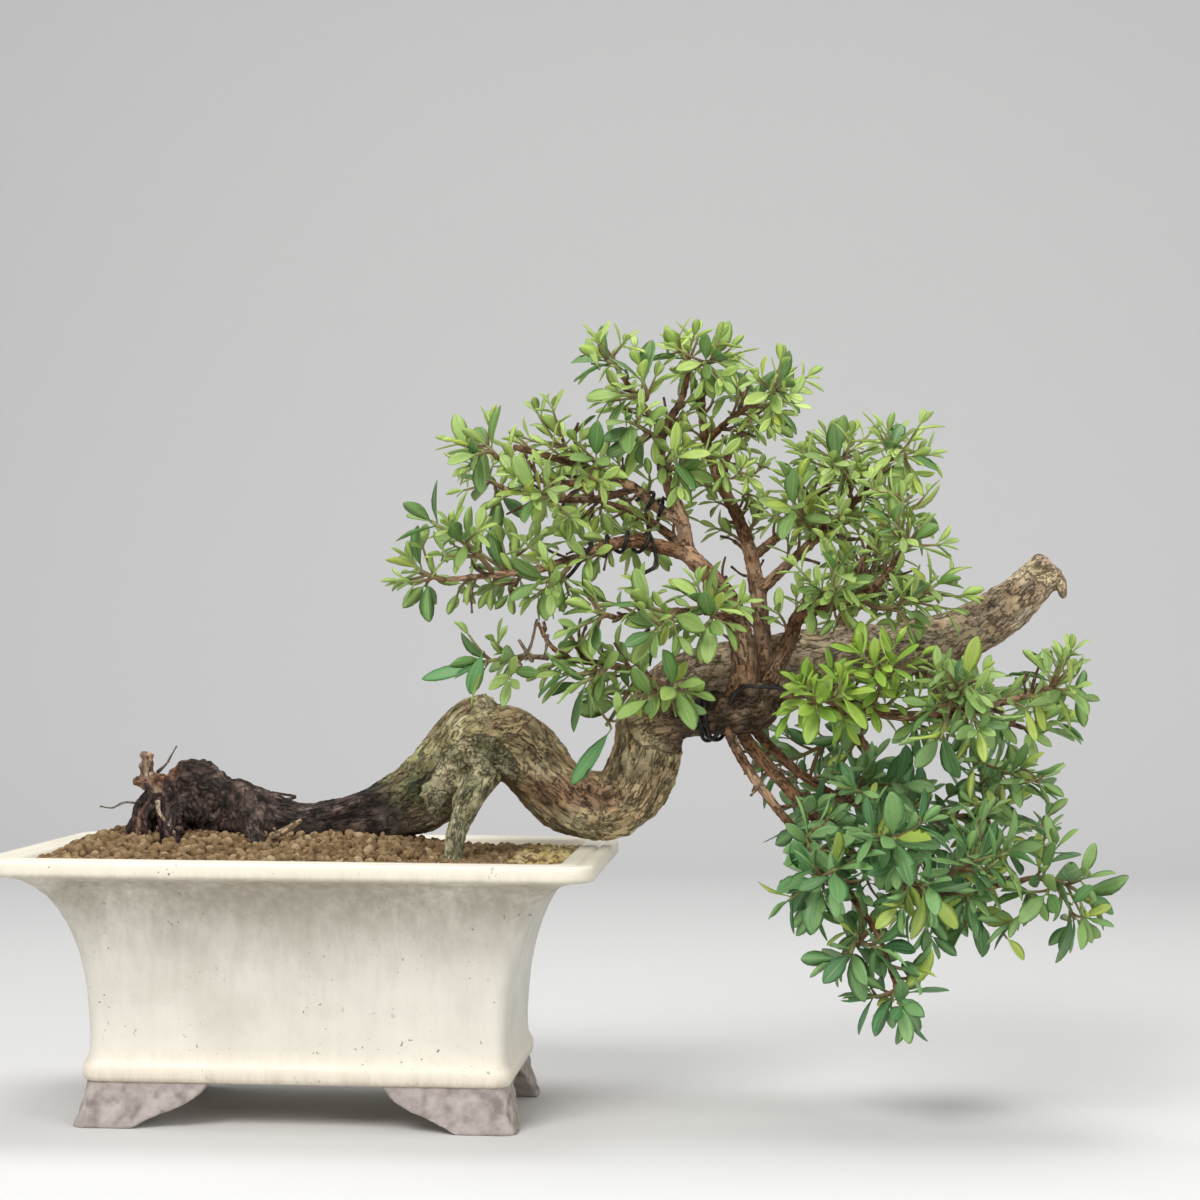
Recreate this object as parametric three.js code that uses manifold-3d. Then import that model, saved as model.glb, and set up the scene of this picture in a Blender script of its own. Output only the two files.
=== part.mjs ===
// A semi-cascade Syzygium buxifolium bonsai in a cream rectangular pot on four bracket feet.
// Millimetres, +Z up, +X along the pot towards the leaning crown, +Y away from the viewer.
// Everything is built round the middle of the pot on the table; the finished group is then
// moved so that its origin is the middle of the whole object's box, at table height.
import * as THREE from "three";
import { mergeVertices } from "three/addons/utils/BufferGeometryUtils.js";
import Module from "manifold-3d";

const wasm = await Module();
wasm.setup();

// Clearance between separate pieces that touch
const GAP = 0.3;

// Pot: half length and half width at the rim and at the neck, the narrowest height of the wall
const RIM_HALF = [118, 84];
const NECK_HALF = [82, 49];
const POT_HEIGHT = 106;
const BODY_BASE = 17.6;
const WALL = 7.5;
const FLOOR_TOP = 24;
// The top of the rim and the inner wall down to the neck of the hollow: height, flare, inset
const RIM_TOP = [
  [105, 1, 0],
  [106, 1, 1],
  [106, 1, 4.6],
  [105.1, 1, 5.2],
  [105.1, 1, 6.4],
  [106, 1, 7],
  [106, 1, 13.4],
  [105, 1, 14],
  [100, 1, 16.5],
];
const RIM_CORNER = 13;
const NECK_CORNER = 6;
// How far the outer wall flares from the neck (0) to the rim (1) at each height
const FLARE = [
  [17.6, 0.02],
  [20, 0.06],
  [23, 0.06],
  [27, 0.01],
  [36, 0],
  [54, 0.035],
  [68, 0.11],
  [80, 0.23],
  [90, 0.4],
  [98, 0.7],
  [99.4, 0.96],
  [100.6, 1],
];
const FOOT_SPREAD = 4;
const FOOT_THICKNESS = 11;
// A bracket foot's inner edge: distance from the corner and height, for the long side
const FOOT_EDGE = [
  [24, 0],
  [32, 4.2],
  [42, 8.2],
  [49, 12.4],
  [54, 18.2],
];
const SHORT_SIDE_SCALE = 0.66;
const DRAIN_RADIUS = 8;
const DRAIN_X = 42;
const SCREEN_SIDE = 26;
const SCREEN_THICKNESS = 0.8;
const SCREEN_SLOT = [20, 3];
const SCREEN_PITCH = 6;

// Soil: height along the rim, and the ridge that carries the lying trunk
const SOIL_EDGE = 100.5;
const SOIL_RIDGE = 8.5;
const GRAIN_PITCH = 9.6;
const GRAIN_HEIGHT = 3;

// Leaves and shoots
const BLADE_THICKNESS = 1.1;
const BLADE_WIDTH = 0.42;
const BLADE_ARCH = 0.16;
const SHOOT_GIRTH = [1.3, 0.8];
const SIDE_GIRTH = [1, 0.75];
// Leaf length low on the cascade and high in the crown
const LEAF_LENGTH = [21, 17.5];
const LEAF_SPACING = 11;
// Length of shoot that a pair of leaves grows from
const NODE_LENGTH = 1.4;
// Extra clearance of a shoot's foot from the uneven side of its bough
const SEAT_PLAY = 0.1;
// How far a terminal leaf reaches past the end of its stem
const TIP_REACH = 16;
const WIRE_RADIUS = 0.9;

const MATERIALS = {
  glaze: { color: 0xe6dccb, roughness: 0.35, metalness: 0 },
  screen: { color: 0x2a2a2a, roughness: 0.7, metalness: 0 },
  soil: { color: 0x7a5638, roughness: 0.95, metalness: 0 },
  bark: { color: 0x8a735a, roughness: 0.9, metalness: 0 },
  wire: { color: 0x15130f, roughness: 0.45, metalness: 0.6 },
  leaf: { color: 0x4f8a45, roughness: 0.45, metalness: 0 },
  young_leaf: { color: 0x9cc254, roughness: 0.45, metalness: 0 },
};

// Thick limbs of the trunk: points on the centre line, and the radius at each
const TRUNK = {
  lying: {
    line: [
      [-64, 0, 126], [-52, 0, 125], [-33, 0, 121], [-8, 2, 114.5], [18, 4, 118.5],
      [40, 6, 126], [54, 8, 139], [64, 10, 150], [72, 11, 153],
    ],
    radii: [8.5, 11, 11, 9.2, 11, 14, 16, 17.5, 16],
    steps: 15,
    blunt: [true, false],
  },
  falling: {
    line: [
      [66, 10, 150], [76, 12, 148.5], [84, 15, 142], [92, 17, 133.5], [101, 19, 126],
      [110, 21, 122.5], [116, 22, 122.5],
    ],
    radii: [15.5, 15.5, 13.8, 13.3, 13.4, 13.2, 11.5],
    steps: 8,
  },
  rising: {
    line: [
      [104, 20, 125.5], [112, 21.5, 122.5], [120, 22, 123.5], [126.5, 23, 130],
      [131.5, 24, 143], [134, 23, 156], [136, 23, 163],
    ],
    radii: [11, 12.6, 13, 13.4, 13.8, 13.6, 11],
    steps: 8,
  },
  rear: {
    line: [
      [135, 23, 157], [141, 28, 168], [154, 34, 177], [179, 38, 181.5], [208, 40, 185],
      [237, 38, 189.5], [262, 36, 195], [282, 34, 207], [298, 32, 222.5],
    ],
    radii: [11.5, 12, 12, 11.8, 11.5, 11, 10.6, 9.4, 7.6],
    steps: 13,
  },
  arm: {
    line: [
      [134, 21, 156], [146, 12, 160.5], [158, 4, 160.5], [169, -2, 162.5], [179, -4, 166.5],
      [184, -4, 170],
    ],
    radii: [11, 9, 7.6, 9, 9.6, 6],
    steps: 7,
    blunt: [false, true],
  },
};

// Surface roots at the old end, and the aerial root under the arch
const ROOTS = {
  stump_column: {
    line: [[-58, -2, 124], [-67, -6, 122], [-72, -9, 114], [-72, -11, 101]],
    radii: [6, 5.4, 4.8, 4],
  },
  front_column: {
    line: [[-54, -6, 122], [-58, -12, 117], [-57, -17, 108], [-56, -19, 100]],
    radii: [6, 5, 4.2, 3.4],
  },
  back_column: {
    line: [[-54, 4, 126], [-62, 14, 122], [-69, 24, 112], [-72, 30, 100]],
    radii: [6, 5, 4.2, 3.4],
  },
  side_root: { line: [[-54, -2, 133], [-63, -6, 133.5], [-74, -8, 132]], radii: [3.4, 2.6, 2.1] },
  upright_root: { line: [[-68, -7, 130], [-69, -7, 136], [-70, -8, 144]], radii: [2.6, 2.3, 2.9] },
  crest: { line: [[-60, 2, 128], [-54, 1, 134], [-45, 1, 133], [-36, 1, 127]], radii: [6, 7, 6.6, 5] },
  buttress: { line: [[-30, -4, 121], [-24, -14, 113], [-18, -24, 104]], radii: [6, 4.2, 3] },
  aerial_root: {
    line: [
      [68, -2, 136], [66, -9, 132], [63, -20, 124], [60.5, -30, 115.5], [60, -36, 106],
      [60, -38, 98],
    ],
    radii: [7, 6, 4.8, 4, 3.8, 3.6],
  },
  spur: { line: [[62, -6, 133], [58, -12, 128], [57, -14, 122]], radii: [2.2, 1.6, 1.1] },
};

// Healed scars on the arch: place, outward direction and radius
const SCARS = [
  { at: [64, -6, 151], out: [-0.1, -1, 0.15], radius: 3.6 },
  { at: [70, -5, 152], out: [0.2, -1, 0.2], radius: 3 },
  { at: [57, -8, 142], out: [-0.2, -1, 0], radius: 4.2 },
  { at: [67, -8, 141], out: [0.1, -1, -0.1], radius: 3.8 },
  { at: [42, -7, 130], out: [-0.1, -1, 0.1], radius: 3.6 },
  { at: [166, -10, 166], out: [-0.2, -1, 0.4], radius: 3.2 },
];

// Boughs: points on the centre line, and the radius at the foot and at the end
const BOUGHS = {
  leader: {
    line: [
      [168, -3, 162], [173, -4, 178], [171, -2, 194], [167, 0, 206], [159, 2, 217],
      [149, 4, 227],
    ],
    girth: [6, 3.6],
  },
  left: {
    line: [
      [150, 4, 226], [138, 0, 229.5], [127, -5, 231], [117, -8, 229], [109, -10, 225],
      [99, -12, 222], [89, -14, 219], [73, -14, 217], [53, -12, 215],
    ],
    girth: [3.2, 1.2],
  },
  crown: {
    line: [
      [149.5, 4, 226], [147, 8, 240], [142, 10, 253], [138, 12, 265], [139, 12, 277],
      [146, 10, 289], [149, 8, 300],
    ],
    girth: [3.3, 1.3],
  },
  crown_left: {
    line: [
      [146, 8, 240], [136, 6, 246], [128, 3, 253], [118, 0, 257], [108, -4, 261],
      [94, -8, 265], [80, -12, 268.5],
    ],
    girth: [2.4, 1.4],
  },
  upper_left: {
    line: [[118, 0, 257], [105, -10, 254], [89, -18, 255.5], [75, -24, 263]],
    girth: [1.8, 1.1],
  },
  upper_left_rear: {
    line: [[128, 4, 253], [113, 20, 250], [91, 32, 250], [71, 38, 255]],
    girth: [1.8, 1.1],
  },
  crown_tip_left: { line: [[139, 12, 277], [130, 4, 288], [122, -4, 299]], girth: [1.7, 1.1] },
  second_leader: {
    line: [
      [178, -1, 166], [180, 5, 178], [180, 12, 192], [177.5, 18, 212], [174.5, 22, 228],
      [169, 24, 243], [161, 22, 259], [156, 20, 274], [154.5, 16, 290], [156, 12, 303],
    ],
    girth: [4.4, 1.3],
  },
  crown_tip_right: { line: [[156, 20, 273], [168, 10, 283], [182, 2, 291]], girth: [1.7, 1.1] },
  rear_crown: { line: [[161, 23, 258], [167, 36, 273], [175, 46, 288]], girth: [2, 1.2] },
  rear_left: { line: [[152, 5, 224], [141, 26, 235], [126, 42, 245], [109, 54, 251]], girth: [2.4, 1.2] },
  upper_right: {
    line: [[177.5, 18, 211], [191, 14, 223.5], [205, 10, 236.5], [218, 6, 249.5], [228.5, 2, 262]],
    girth: [2.6, 1.2],
  },
  rear_right: {
    line: [[174.5, 22, 225], [187, 36, 236], [200, 48, 249], [211, 54, 264]],
    girth: [2.3, 1.2],
  },
  rear_upright: {
    line: [[211, 38, 184], [214, 50, 203], [221, 54, 224], [231, 54, 243]],
    girth: [3.2, 1.3],
  },
  right: {
    line: [
      [181, -3, 168], [185, 0, 179], [191, -2, 192], [195, -4, 202], [206, -8, 205],
      [219, -10, 209.5], [227.5, -12, 216], [233, -14, 224],
    ],
    girth: [4, 1.3],
  },
  low_right: {
    line: [
      [182, -4, 168], [188, -5, 169.5], [198, -8, 171], [213, -12, 167], [235, -16, 162],
      [258, -20, 164], [277, -22, 168.5], [290, -24, 173],
    ],
    girth: [3.6, 1.1],
  },
  cascade_front: {
    line: [
      [166, -4, 160], [168, -6, 152], [176, -10, 138], [189, -14, 121.5], [201, -16, 108.5],
      [213, -18, 94], [226, -20, 76], [233, -22, 57],
    ],
    girth: [2.4, 1.1],
  },
  cascade_mid: {
    line: [
      [172, -2, 160], [174, 0, 151], [187, 0, 136], [200, -2, 122], [213.5, -4, 108.5],
      [231, -8, 98], [255, -10, 92], [282, -12, 97],
    ],
    girth: [3.2, 1.2],
  },
  cascade_back: {
    line: [
      [176, 1, 161], [179, 8, 153], [195, 14, 138], [214, 22, 126.5], [239, 28, 120],
      [267, 32, 120],
    ],
    girth: [2.6, 1.1],
  },
  rear_low: {
    line: [[238, 38, 189], [245, 48, 180], [256, 53, 170], [273, 58, 161], [292, 58, 155]],
    girth: [3, 1.1],
  },
  rear_cascade: {
    line: [
      [203, 40, 185], [209, 50, 174], [215, 54, 162], [227, 58, 138], [240, 58, 114],
      [252, 52, 92],
    ],
    girth: [3.2, 1.2],
  },
  front_left: {
    line: [
      [150, 8, 162], [144, 0, 169.5], [137, -8, 174.5], [125, -20, 180], [111, -30, 182.5],
      [97, -36, 184],
    ],
    girth: [2.6, 1.1],
  },
  front_twig: {
    line: [[171, -2, 196], [163, -8, 201], [155, -14, 203], [139, -24, 202.5], [122.5, -32, 200]],
    girth: [2, 1],
  },
  bare_twig_left: { line: [[111, -30, 182.5], [106, -27, 190], [101, -25, 198]], girth: [1.2, 0.9] },
  bare_twig_up: { line: [[104, -33, 183], [96, -30, 190], [92, -31, 198]], girth: [1.2, 0.9] },
  bare_twig_crown: { line: [[108, -4, 261], [105, -6, 268], [103, -6, 276]], girth: [1.2, 0.9] },
  bare_twig_right: { line: [[206, -8, 205], [216, -6, 213], [224, -2, 218]], girth: [1.3, 0.9] },
};

// Leafy shoots: the bough each grows from and how far along it, then the tips its stems reach.
// The first tip ends the main stem, and the others end side stems that leave it lower down.
const SPRAYS = [
  { bough: "left", at: 1, tips: [[26, -12, 226], [38, -2, 207]] },
  { bough: "left", at: 0.88, tips: [[36, -26, 248], [56, -40, 238]] },
  { bough: "left", at: 0.8, tips: [[64, 14, 221], [47, 24, 238], [80, 20, 238]] },
  { bough: "left", at: 0.58, tips: [[86, -44, 207], [98, -24, 205]] },
  { bough: "upper_left", at: 1, tips: [[64, -28, 276], [58, -44, 262]] },
  { bough: "upper_left", at: 0.55, tips: [[84, -48, 244], [74, -42, 250]] },
  { bough: "crown_left", at: 0.58, tips: [[112, -32, 268], [106, -36, 246]] },
  { bough: "crown_left", at: 0.76, tips: [[96, 4, 284], [82, 10, 277]] },
  { bough: "upper_left_rear", at: 1, tips: [[52, 44, 265], [70, 56, 244]] },
  { bough: "rear_left", at: 1, tips: [[88, 70, 264], [86, 66, 240]] },
  { bough: "rear_left", at: 0.55, tips: [[118, 70, 236], [112, 40, 228]] },
  { bough: "crown_tip_left", at: 1, tips: [[106, -8, 312], [118, -10, 316]] },
  { bough: "crown_tip_left", at: 0.55, tips: [[132, -27, 303], [114, -27, 289]] },
  { bough: "crown", at: 1, tips: [[140, 8, 321], [150, 16, 313]] },
  { bough: "crown", at: 0.6, tips: [[121, -36, 281], [124, -20, 266]] },
  { bough: "crown", at: 0.42, tips: [[150, -26, 268], [160, -14, 256]] },
  { bough: "second_leader", at: 1, tips: [[165, 2, 308], [154, -12, 302]] },
  { bough: "crown_tip_right", at: 1, tips: [[193, -6, 297], [182, -22, 286]] },
  { bough: "rear_crown", at: 1, tips: [[178, 62, 306], [190, 44, 294], [154, 54, 306]] },
  { bough: "upper_right", at: 1, tips: [[236, -2, 280], [248, -12, 266]] },
  { bough: "upper_right", at: 0.72, tips: [[216, 18, 274], [202, -10, 274]] },
  { bough: "upper_right", at: 0.45, tips: [[186, -30, 250], [202, -26, 236], [190, -10, 268]] },
  { bough: "rear_right", at: 1, tips: [[208, 70, 284], [190, 62, 280], [222, 50, 282]] },
  { bough: "rear_upright", at: 1, tips: [[242, 66, 264], [258, 56, 244]] },
  { bough: "rear_upright", at: 0.62, tips: [[238, 76, 232], [206, 74, 230]] },
  { bough: "right", at: 1, tips: [[250, -22, 242], [228, -34, 250]] },
  { bough: "right", at: 0.72, tips: [[263, -30, 217], [250, -18, 200]] },
  { bough: "right", at: 0.58, tips: [[210, -44, 228], [196, -36, 216]] },
  { bough: "front_left", at: 1, tips: [[56, -46, 181], [74, -44, 172]] },
  { bough: "front_left", at: 0.72, tips: [[102, -56, 168], [90, -54, 176]] },
  { bough: "front_left", at: 0.5, tips: [[112, -36, 146]] },
  { bough: "front_left", at: 0.4, tips: [[152, -46, 172], [132, -52, 164]] },
  { bough: "front_twig", at: 1, tips: [[102, -38, 206], [108, -48, 192]] },
  { bough: "front_twig", at: 0.66, tips: [[134, -58, 188], [124, -52, 208]] },
  { bough: "front_twig", at: 0.4, tips: [[160, -50, 196], [150, -40, 214]] },
  { bough: "low_right", at: 1, tips: [[305, -28, 172], [291, -20, 187]] },
  { bough: "low_right", at: 0.68, tips: [[266, -46, 186], [274, -38, 150], [246, -50, 142]] },
  { bough: "low_right", at: 0.5, tips: [[236, -40, 194], [212, -40, 198]], young: true },
  { bough: "low_right", at: 0.32, tips: [[202, -50, 162], [220, -56, 172]], young: true },
  { bough: "rear_low", at: 1, tips: [[304, 64, 163], [303, 46, 176]] },
  { bough: "rear_low", at: 0.6, tips: [[278, 72, 150], [262, 78, 170]] },
  { bough: "cascade_mid", at: 1, tips: [[323, -16, 88], [312, -22, 70], [292, -34, 84]] },
  { bough: "cascade_mid", at: 0.84, tips: [[288, -34, 116], [280, -42, 98]] },
  { bough: "cascade_mid", at: 0.62, tips: [[238, -50, 119], [254, -46, 84]] },
  { bough: "cascade_front", at: 1, tips: [[229, -24, 43], [246, -12, 52], [214, -16, 46]] },
  { bough: "cascade_front", at: 0.84, tips: [[206, -38, 60], [224, 10, 68], [240, -34, 66]] },
  { bough: "cascade_front", at: 0.62, tips: [[196, -36, 91], [214, -56, 106], [196, -2, 96]] },
  { bough: "cascade_back", at: 1, tips: [[294, 42, 128], [280, 12, 138], [276, 30, 98]] },
  { bough: "cascade_back", at: 0.6, tips: [[232, 48, 138], [248, 0, 136]] },
  { bough: "rear_cascade", at: 1, tips: [[263, 50, 67], [280, 24, 76]] },
  { bough: "rear_cascade", at: 0.72, tips: [[256, 78, 100], [240, 80, 126]] },
  { bough: "rear_cascade", at: 0.45, tips: [[172, 68, 131], [196, 60, 100]] },
];

const vec = (p) => new THREE.Vector3(p[0], p[1], p[2]);
const UP = new THREE.Vector3(0, 0, 1);
// Keeps a cross product of two near-parallel directions from vanishing
const NUDGE = new THREE.Vector3(0.02, 0.01, 0.015);

// A repeatable draw from 0 to 1: choice k of item n
function draw(n, k) {
  const v = Math.sin(n * 127.1 + k * 311.7 + 17.3) * 43758.5453;
  return v - Math.floor(v);
}

// A closed geometry as a manifold solid with its faces pointing out
function solid(geometry) {
  const bare = geometry.index ? geometry.toNonIndexed() : geometry.clone();
  bare.deleteAttribute("normal");
  bare.deleteAttribute("uv");
  const merged = mergeVertices(bare, 1e-4);
  const build = (triVerts) =>
    new wasm.Manifold(
      new wasm.Mesh({ numProp: 3, vertProperties: merged.attributes.position.array, triVerts }),
    );
  const faces = new Uint32Array(merged.index.array);
  const made = build(faces);
  return made.volume() < 0 ? build(faces.reverse()) : made;
}

function geometryOf(manifold) {
  const mesh = manifold.getMesh();
  const geometry = new THREE.BufferGeometry();
  geometry.setAttribute("position", new THREE.BufferAttribute(mesh.vertProperties, 3));
  geometry.setIndex(new THREE.BufferAttribute(mesh.triVerts, 1));
  geometry.computeVertexNormals();
  return geometry;
}

function union(solids) {
  return solids.reduce((all, next) => all.add(next));
}

// Drops the vertices that lie flat to within a distance
function smoothed(body, distance) {
  return body.asOriginal().simplify(distance);
}

const group = new THREE.Group();

function addNode(name, manifold, material) {
  const mesh = new THREE.Mesh(geometryOf(manifold), new THREE.MeshStandardMaterial(MATERIALS[material]));
  mesh.name = name;
  group.add(mesh);
}

// A closed body through rings of points, each ring with the same count and sense of turn
function loft(rings) {
  const count = rings[0].length;
  const points = rings.flat();
  const faces = [];
  for (let i = 0; i + 1 < rings.length; i++) {
    for (let j = 0; j < count; j++) {
      const a = i * count + j;
      const b = i * count + ((j + 1) % count);
      faces.push(a, b, b + count, a, b + count, a + count);
    }
  }
  const last = (rings.length - 1) * count;
  for (let j = 1; j + 1 < count; j++) {
    faces.push(0, j + 1, j);
    faces.push(last, last + j, last + j + 1);
  }
  const geometry = new THREE.BufferGeometry().setFromPoints(points);
  geometry.setIndex(faces);
  return solid(geometry);
}

// A level ring round a rectangle with rounded corners
function roundedRing(halfLength, halfWidth, radius, z) {
  const cornerSteps = 2;
  const ring = [];
  for (let corner = 0; corner < 4; corner++) {
    const sx = corner === 0 || corner === 3 ? 1 : -1;
    const sy = corner < 2 ? 1 : -1;
    for (let i = 0; i <= cornerSteps; i++) {
      const angle = (corner + i / cornerSteps) * (Math.PI / 2);
      ring.push(
        new THREE.Vector3(
          sx * (halfLength - radius) + radius * Math.cos(angle),
          sy * (halfWidth - radius) + radius * Math.sin(angle),
          z,
        ),
      );
    }
  }
  return ring;
}

// The flare at a height, straight between the listed heights
function flareAt(z) {
  const i = Math.max(1, FLARE.findIndex(([height]) => height >= z));
  const [z0, f0] = FLARE[i - 1];
  const [z1, f1] = FLARE[i];
  return THREE.MathUtils.mapLinear(Math.min(z, z1), z0, z1, f0, f1);
}

function wallRing(z, flare, inset) {
  const radius = THREE.MathUtils.lerp(NECK_CORNER, RIM_CORNER, flare);
  return roundedRing(
    THREE.MathUtils.lerp(NECK_HALF[0], RIM_HALF[0], flare) - inset,
    THREE.MathUtils.lerp(NECK_HALF[1], RIM_HALF[1], flare) - inset,
    Math.max(radius - inset * 0.4, 3),
    z,
  );
}

// The hollow's wall below the rim, from the top down to the floor
function innerWall(inset, floor) {
  return [88, 74, 54, floor].map((z) => wallRing(z, flareAt(z), WALL + inset));
}

// One wall: up the outside, over the grooved rim, and down the inside to the floor
function potBody() {
  const outer = FLARE.map(([z, flare]) => wallRing(z, flare, 0));
  const rim = RIM_TOP.map(([z, flare, inset]) => wallRing(z, flare, inset));
  return loft([...outer, ...rim, ...innerWall(0, FLOOR_TOP)]);
}

function extrudeAlongY(outline, halfDepth) {
  const shape = new THREE.Shape(outline.map(([u, z]) => new THREE.Vector2(u, z)));
  const geometry = new THREE.ExtrudeGeometry(shape, { depth: 2 * halfDepth, bevelEnabled: false });
  geometry.translate(0, 0, -halfDepth);
  geometry.rotateX(Math.PI / 2);
  return geometry;
}

// The space between two bracket feet, as an outline across one side of the pot
function footGap(halfSide, scale) {
  const right = FOOT_EDGE.map(([u, z]) => [halfSide - u * scale, z]);
  const left = FOOT_EDGE.map(([u, z]) => [u * scale - halfSide, z]).reverse();
  const foot = halfSide - FOOT_EDGE[0][0] * scale;
  return [...right, ...left, [-foot, -2], [foot, -2]];
}

function potFeet() {
  const top = BODY_BASE + 1;
  const spread = [NECK_HALF[0] + FOOT_SPREAD, NECK_HALF[1] + FOOT_SPREAD];
  const footprint = [
    roundedRing(spread[0] + 1.4, spread[1] + 0.6, 5, 0),
    roundedRing(spread[0], spread[1] - 1, 5, 5),
    roundedRing(NECK_HALF[0] + 1.6, NECK_HALF[1] + 1.2, 5, 14),
    roundedRing(NECK_HALF[0] + 1, NECK_HALF[1] + 0.8, 5, top),
  ];
  const inner = [
    roundedRing(spread[0] - FOOT_THICKNESS, spread[1] - FOOT_THICKNESS, 4, -1),
    roundedRing(NECK_HALF[0] - FOOT_THICKNESS, NECK_HALF[1] - FOOT_THICKNESS, 4, top + 1),
  ];
  const longGap = extrudeAlongY(footGap(spread[0] + 1.4, 1), 80);
  const shortGap = extrudeAlongY(footGap(spread[1] + 0.6, SHORT_SIDE_SCALE), 120).rotateZ(Math.PI / 2);
  return loft(footprint).subtract(loft(inner)).subtract(solid(longGap)).subtract(solid(shortGap));
}

function drainHole(side) {
  const geometry = new THREE.CylinderGeometry(DRAIN_RADIUS, DRAIN_RADIUS, 30, 10);
  geometry.rotateX(Math.PI / 2);
  geometry.translate(side * DRAIN_X, 0, BODY_BASE);
  return solid(geometry);
}

function makePot() {
  return potBody().add(potFeet()).subtract(drainHole(-1)).subtract(drainHole(1));
}

// A coarse slotted plastic screen over a drain hole
function makeScreen(side) {
  const z = FLOOR_TOP + GAP + SCREEN_THICKNESS / 2;
  const plate = new THREE.BoxGeometry(SCREEN_SIDE, SCREEN_SIDE, SCREEN_THICKNESS);
  let screen = solid(plate.translate(side * DRAIN_X, 0, z));
  for (let i = -1.5; i <= 1.5; i++) {
    const slot = new THREE.BoxGeometry(SCREEN_SLOT[0], SCREEN_SLOT[1], 5);
    screen = screen.subtract(solid(slot.translate(side * DRAIN_X, i * SCREEN_PITCH, z)));
  }
  return screen;
}

function screenPocket(side) {
  const size = SCREEN_SIDE + 2;
  const geometry = new THREE.BoxGeometry(size, size, 5);
  geometry.translate(side * DRAIN_X, 0, FLOOR_TOP + SCREEN_THICKNESS + 2 * GAP - 2.5);
  return solid(geometry);
}

// The soil's height at a place: low along the rim, with a ridge under the lying trunk
function soilHeight(x, y) {
  const along = THREE.MathUtils.smoothstep(x, -112, -80) * (1 - THREE.MathUtils.smoothstep(x, 10, 88));
  const across = Math.exp(-((y / 40) ** 2));
  return SOIL_EDGE + SOIL_RIDGE * along * across + 1.5 * across;
}

// A closed slab whose top is a net of raised grains
function grainField() {
  const halfX = RIM_HALF[0];
  const halfY = RIM_HALF[1];
  const columns = Math.round((2 * halfX) / GRAIN_PITCH);
  const rows = Math.round((2 * halfY) / GRAIN_PITCH);
  const points = [];
  for (let j = 0; j <= rows; j++) {
    for (let i = 0; i <= columns; i++) {
      const n = j * (columns + 1) + i;
      const inside = i > 0 && j > 0 && i < columns && j < rows ? 1 : 0;
      const x = -halfX + (2 * halfX * i) / columns + inside * GRAIN_PITCH * 0.5 * (draw(n, 1) - 0.5);
      const y = -halfY + (2 * halfY * j) / rows + inside * GRAIN_PITCH * 0.5 * (draw(n, 2) - 0.5);
      points.push(new THREE.Vector3(x, y, soilHeight(x, y) + GRAIN_HEIGHT * (draw(n, 3) - 0.4)));
    }
  }
  const top = points.length;
  points.push(...points.map((p) => new THREE.Vector3(p.x, p.y, 10)));
  const faces = [];
  const quad = (a, b, c, d) => faces.push(a, b, c, a, c, d);
  const id = (i, j) => j * (columns + 1) + i;
  for (let j = 0; j < rows; j++) {
    for (let i = 0; i < columns; i++) {
      quad(id(i, j), id(i + 1, j), id(i + 1, j + 1), id(i, j + 1));
      quad(top + id(i, j), top + id(i, j + 1), top + id(i + 1, j + 1), top + id(i + 1, j));
    }
  }
  for (let i = 0; i < columns; i++) {
    quad(id(i, 0), top + id(i, 0), top + id(i + 1, 0), id(i + 1, 0));
    quad(id(i + 1, rows), top + id(i + 1, rows), top + id(i, rows), id(i, rows));
  }
  for (let j = 0; j < rows; j++) {
    quad(id(0, j + 1), top + id(0, j + 1), top + id(0, j), id(0, j));
    quad(id(columns, j), top + id(columns, j), top + id(columns, j + 1), id(columns, j + 1));
  }
  const geometry = new THREE.BufferGeometry().setFromPoints(points);
  geometry.setIndex(faces);
  return solid(geometry);
}

// A point and a radius at a place from 0 to 1 along a line of control points
function lineCurve(line) {
  return new THREE.CatmullRomCurve3(line.map(vec), false, "catmullrom", 0.5);
}

function radiusAt(radii, t) {
  const s = t * (radii.length - 1);
  const i = Math.min(Math.floor(s), radii.length - 2);
  return THREE.MathUtils.lerp(radii[i], radii[i + 1], s - i);
}

// Points, radii and sideways directions at even steps along a limb
function stations(line, radii, steps) {
  const curve = lineCurve(line);
  const list = [];
  let side = new THREE.Vector3(0.3, 1, 0.2);
  for (let i = 0; i <= steps; i++) {
    const t = i / steps;
    const tangent = curve.getTangent(t);
    side = side.clone().addScaledVector(tangent, -side.dot(tangent)).normalize();
    const other = new THREE.Vector3().crossVectors(tangent, side);
    list.push({ t, point: curve.getPoint(t), radius: radiusAt(radii, t), tangent, side, other });
  }
  return list;
}

// Shallow flutes and swellings round an old limb, as a share of its radius
function fluting(angle, s) {
  return 0.06 * Math.sin(3 * angle + 1.9 * s) + 0.04 * Math.sin(5 * angle - 2.7 * s + 1.3);
}

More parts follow.
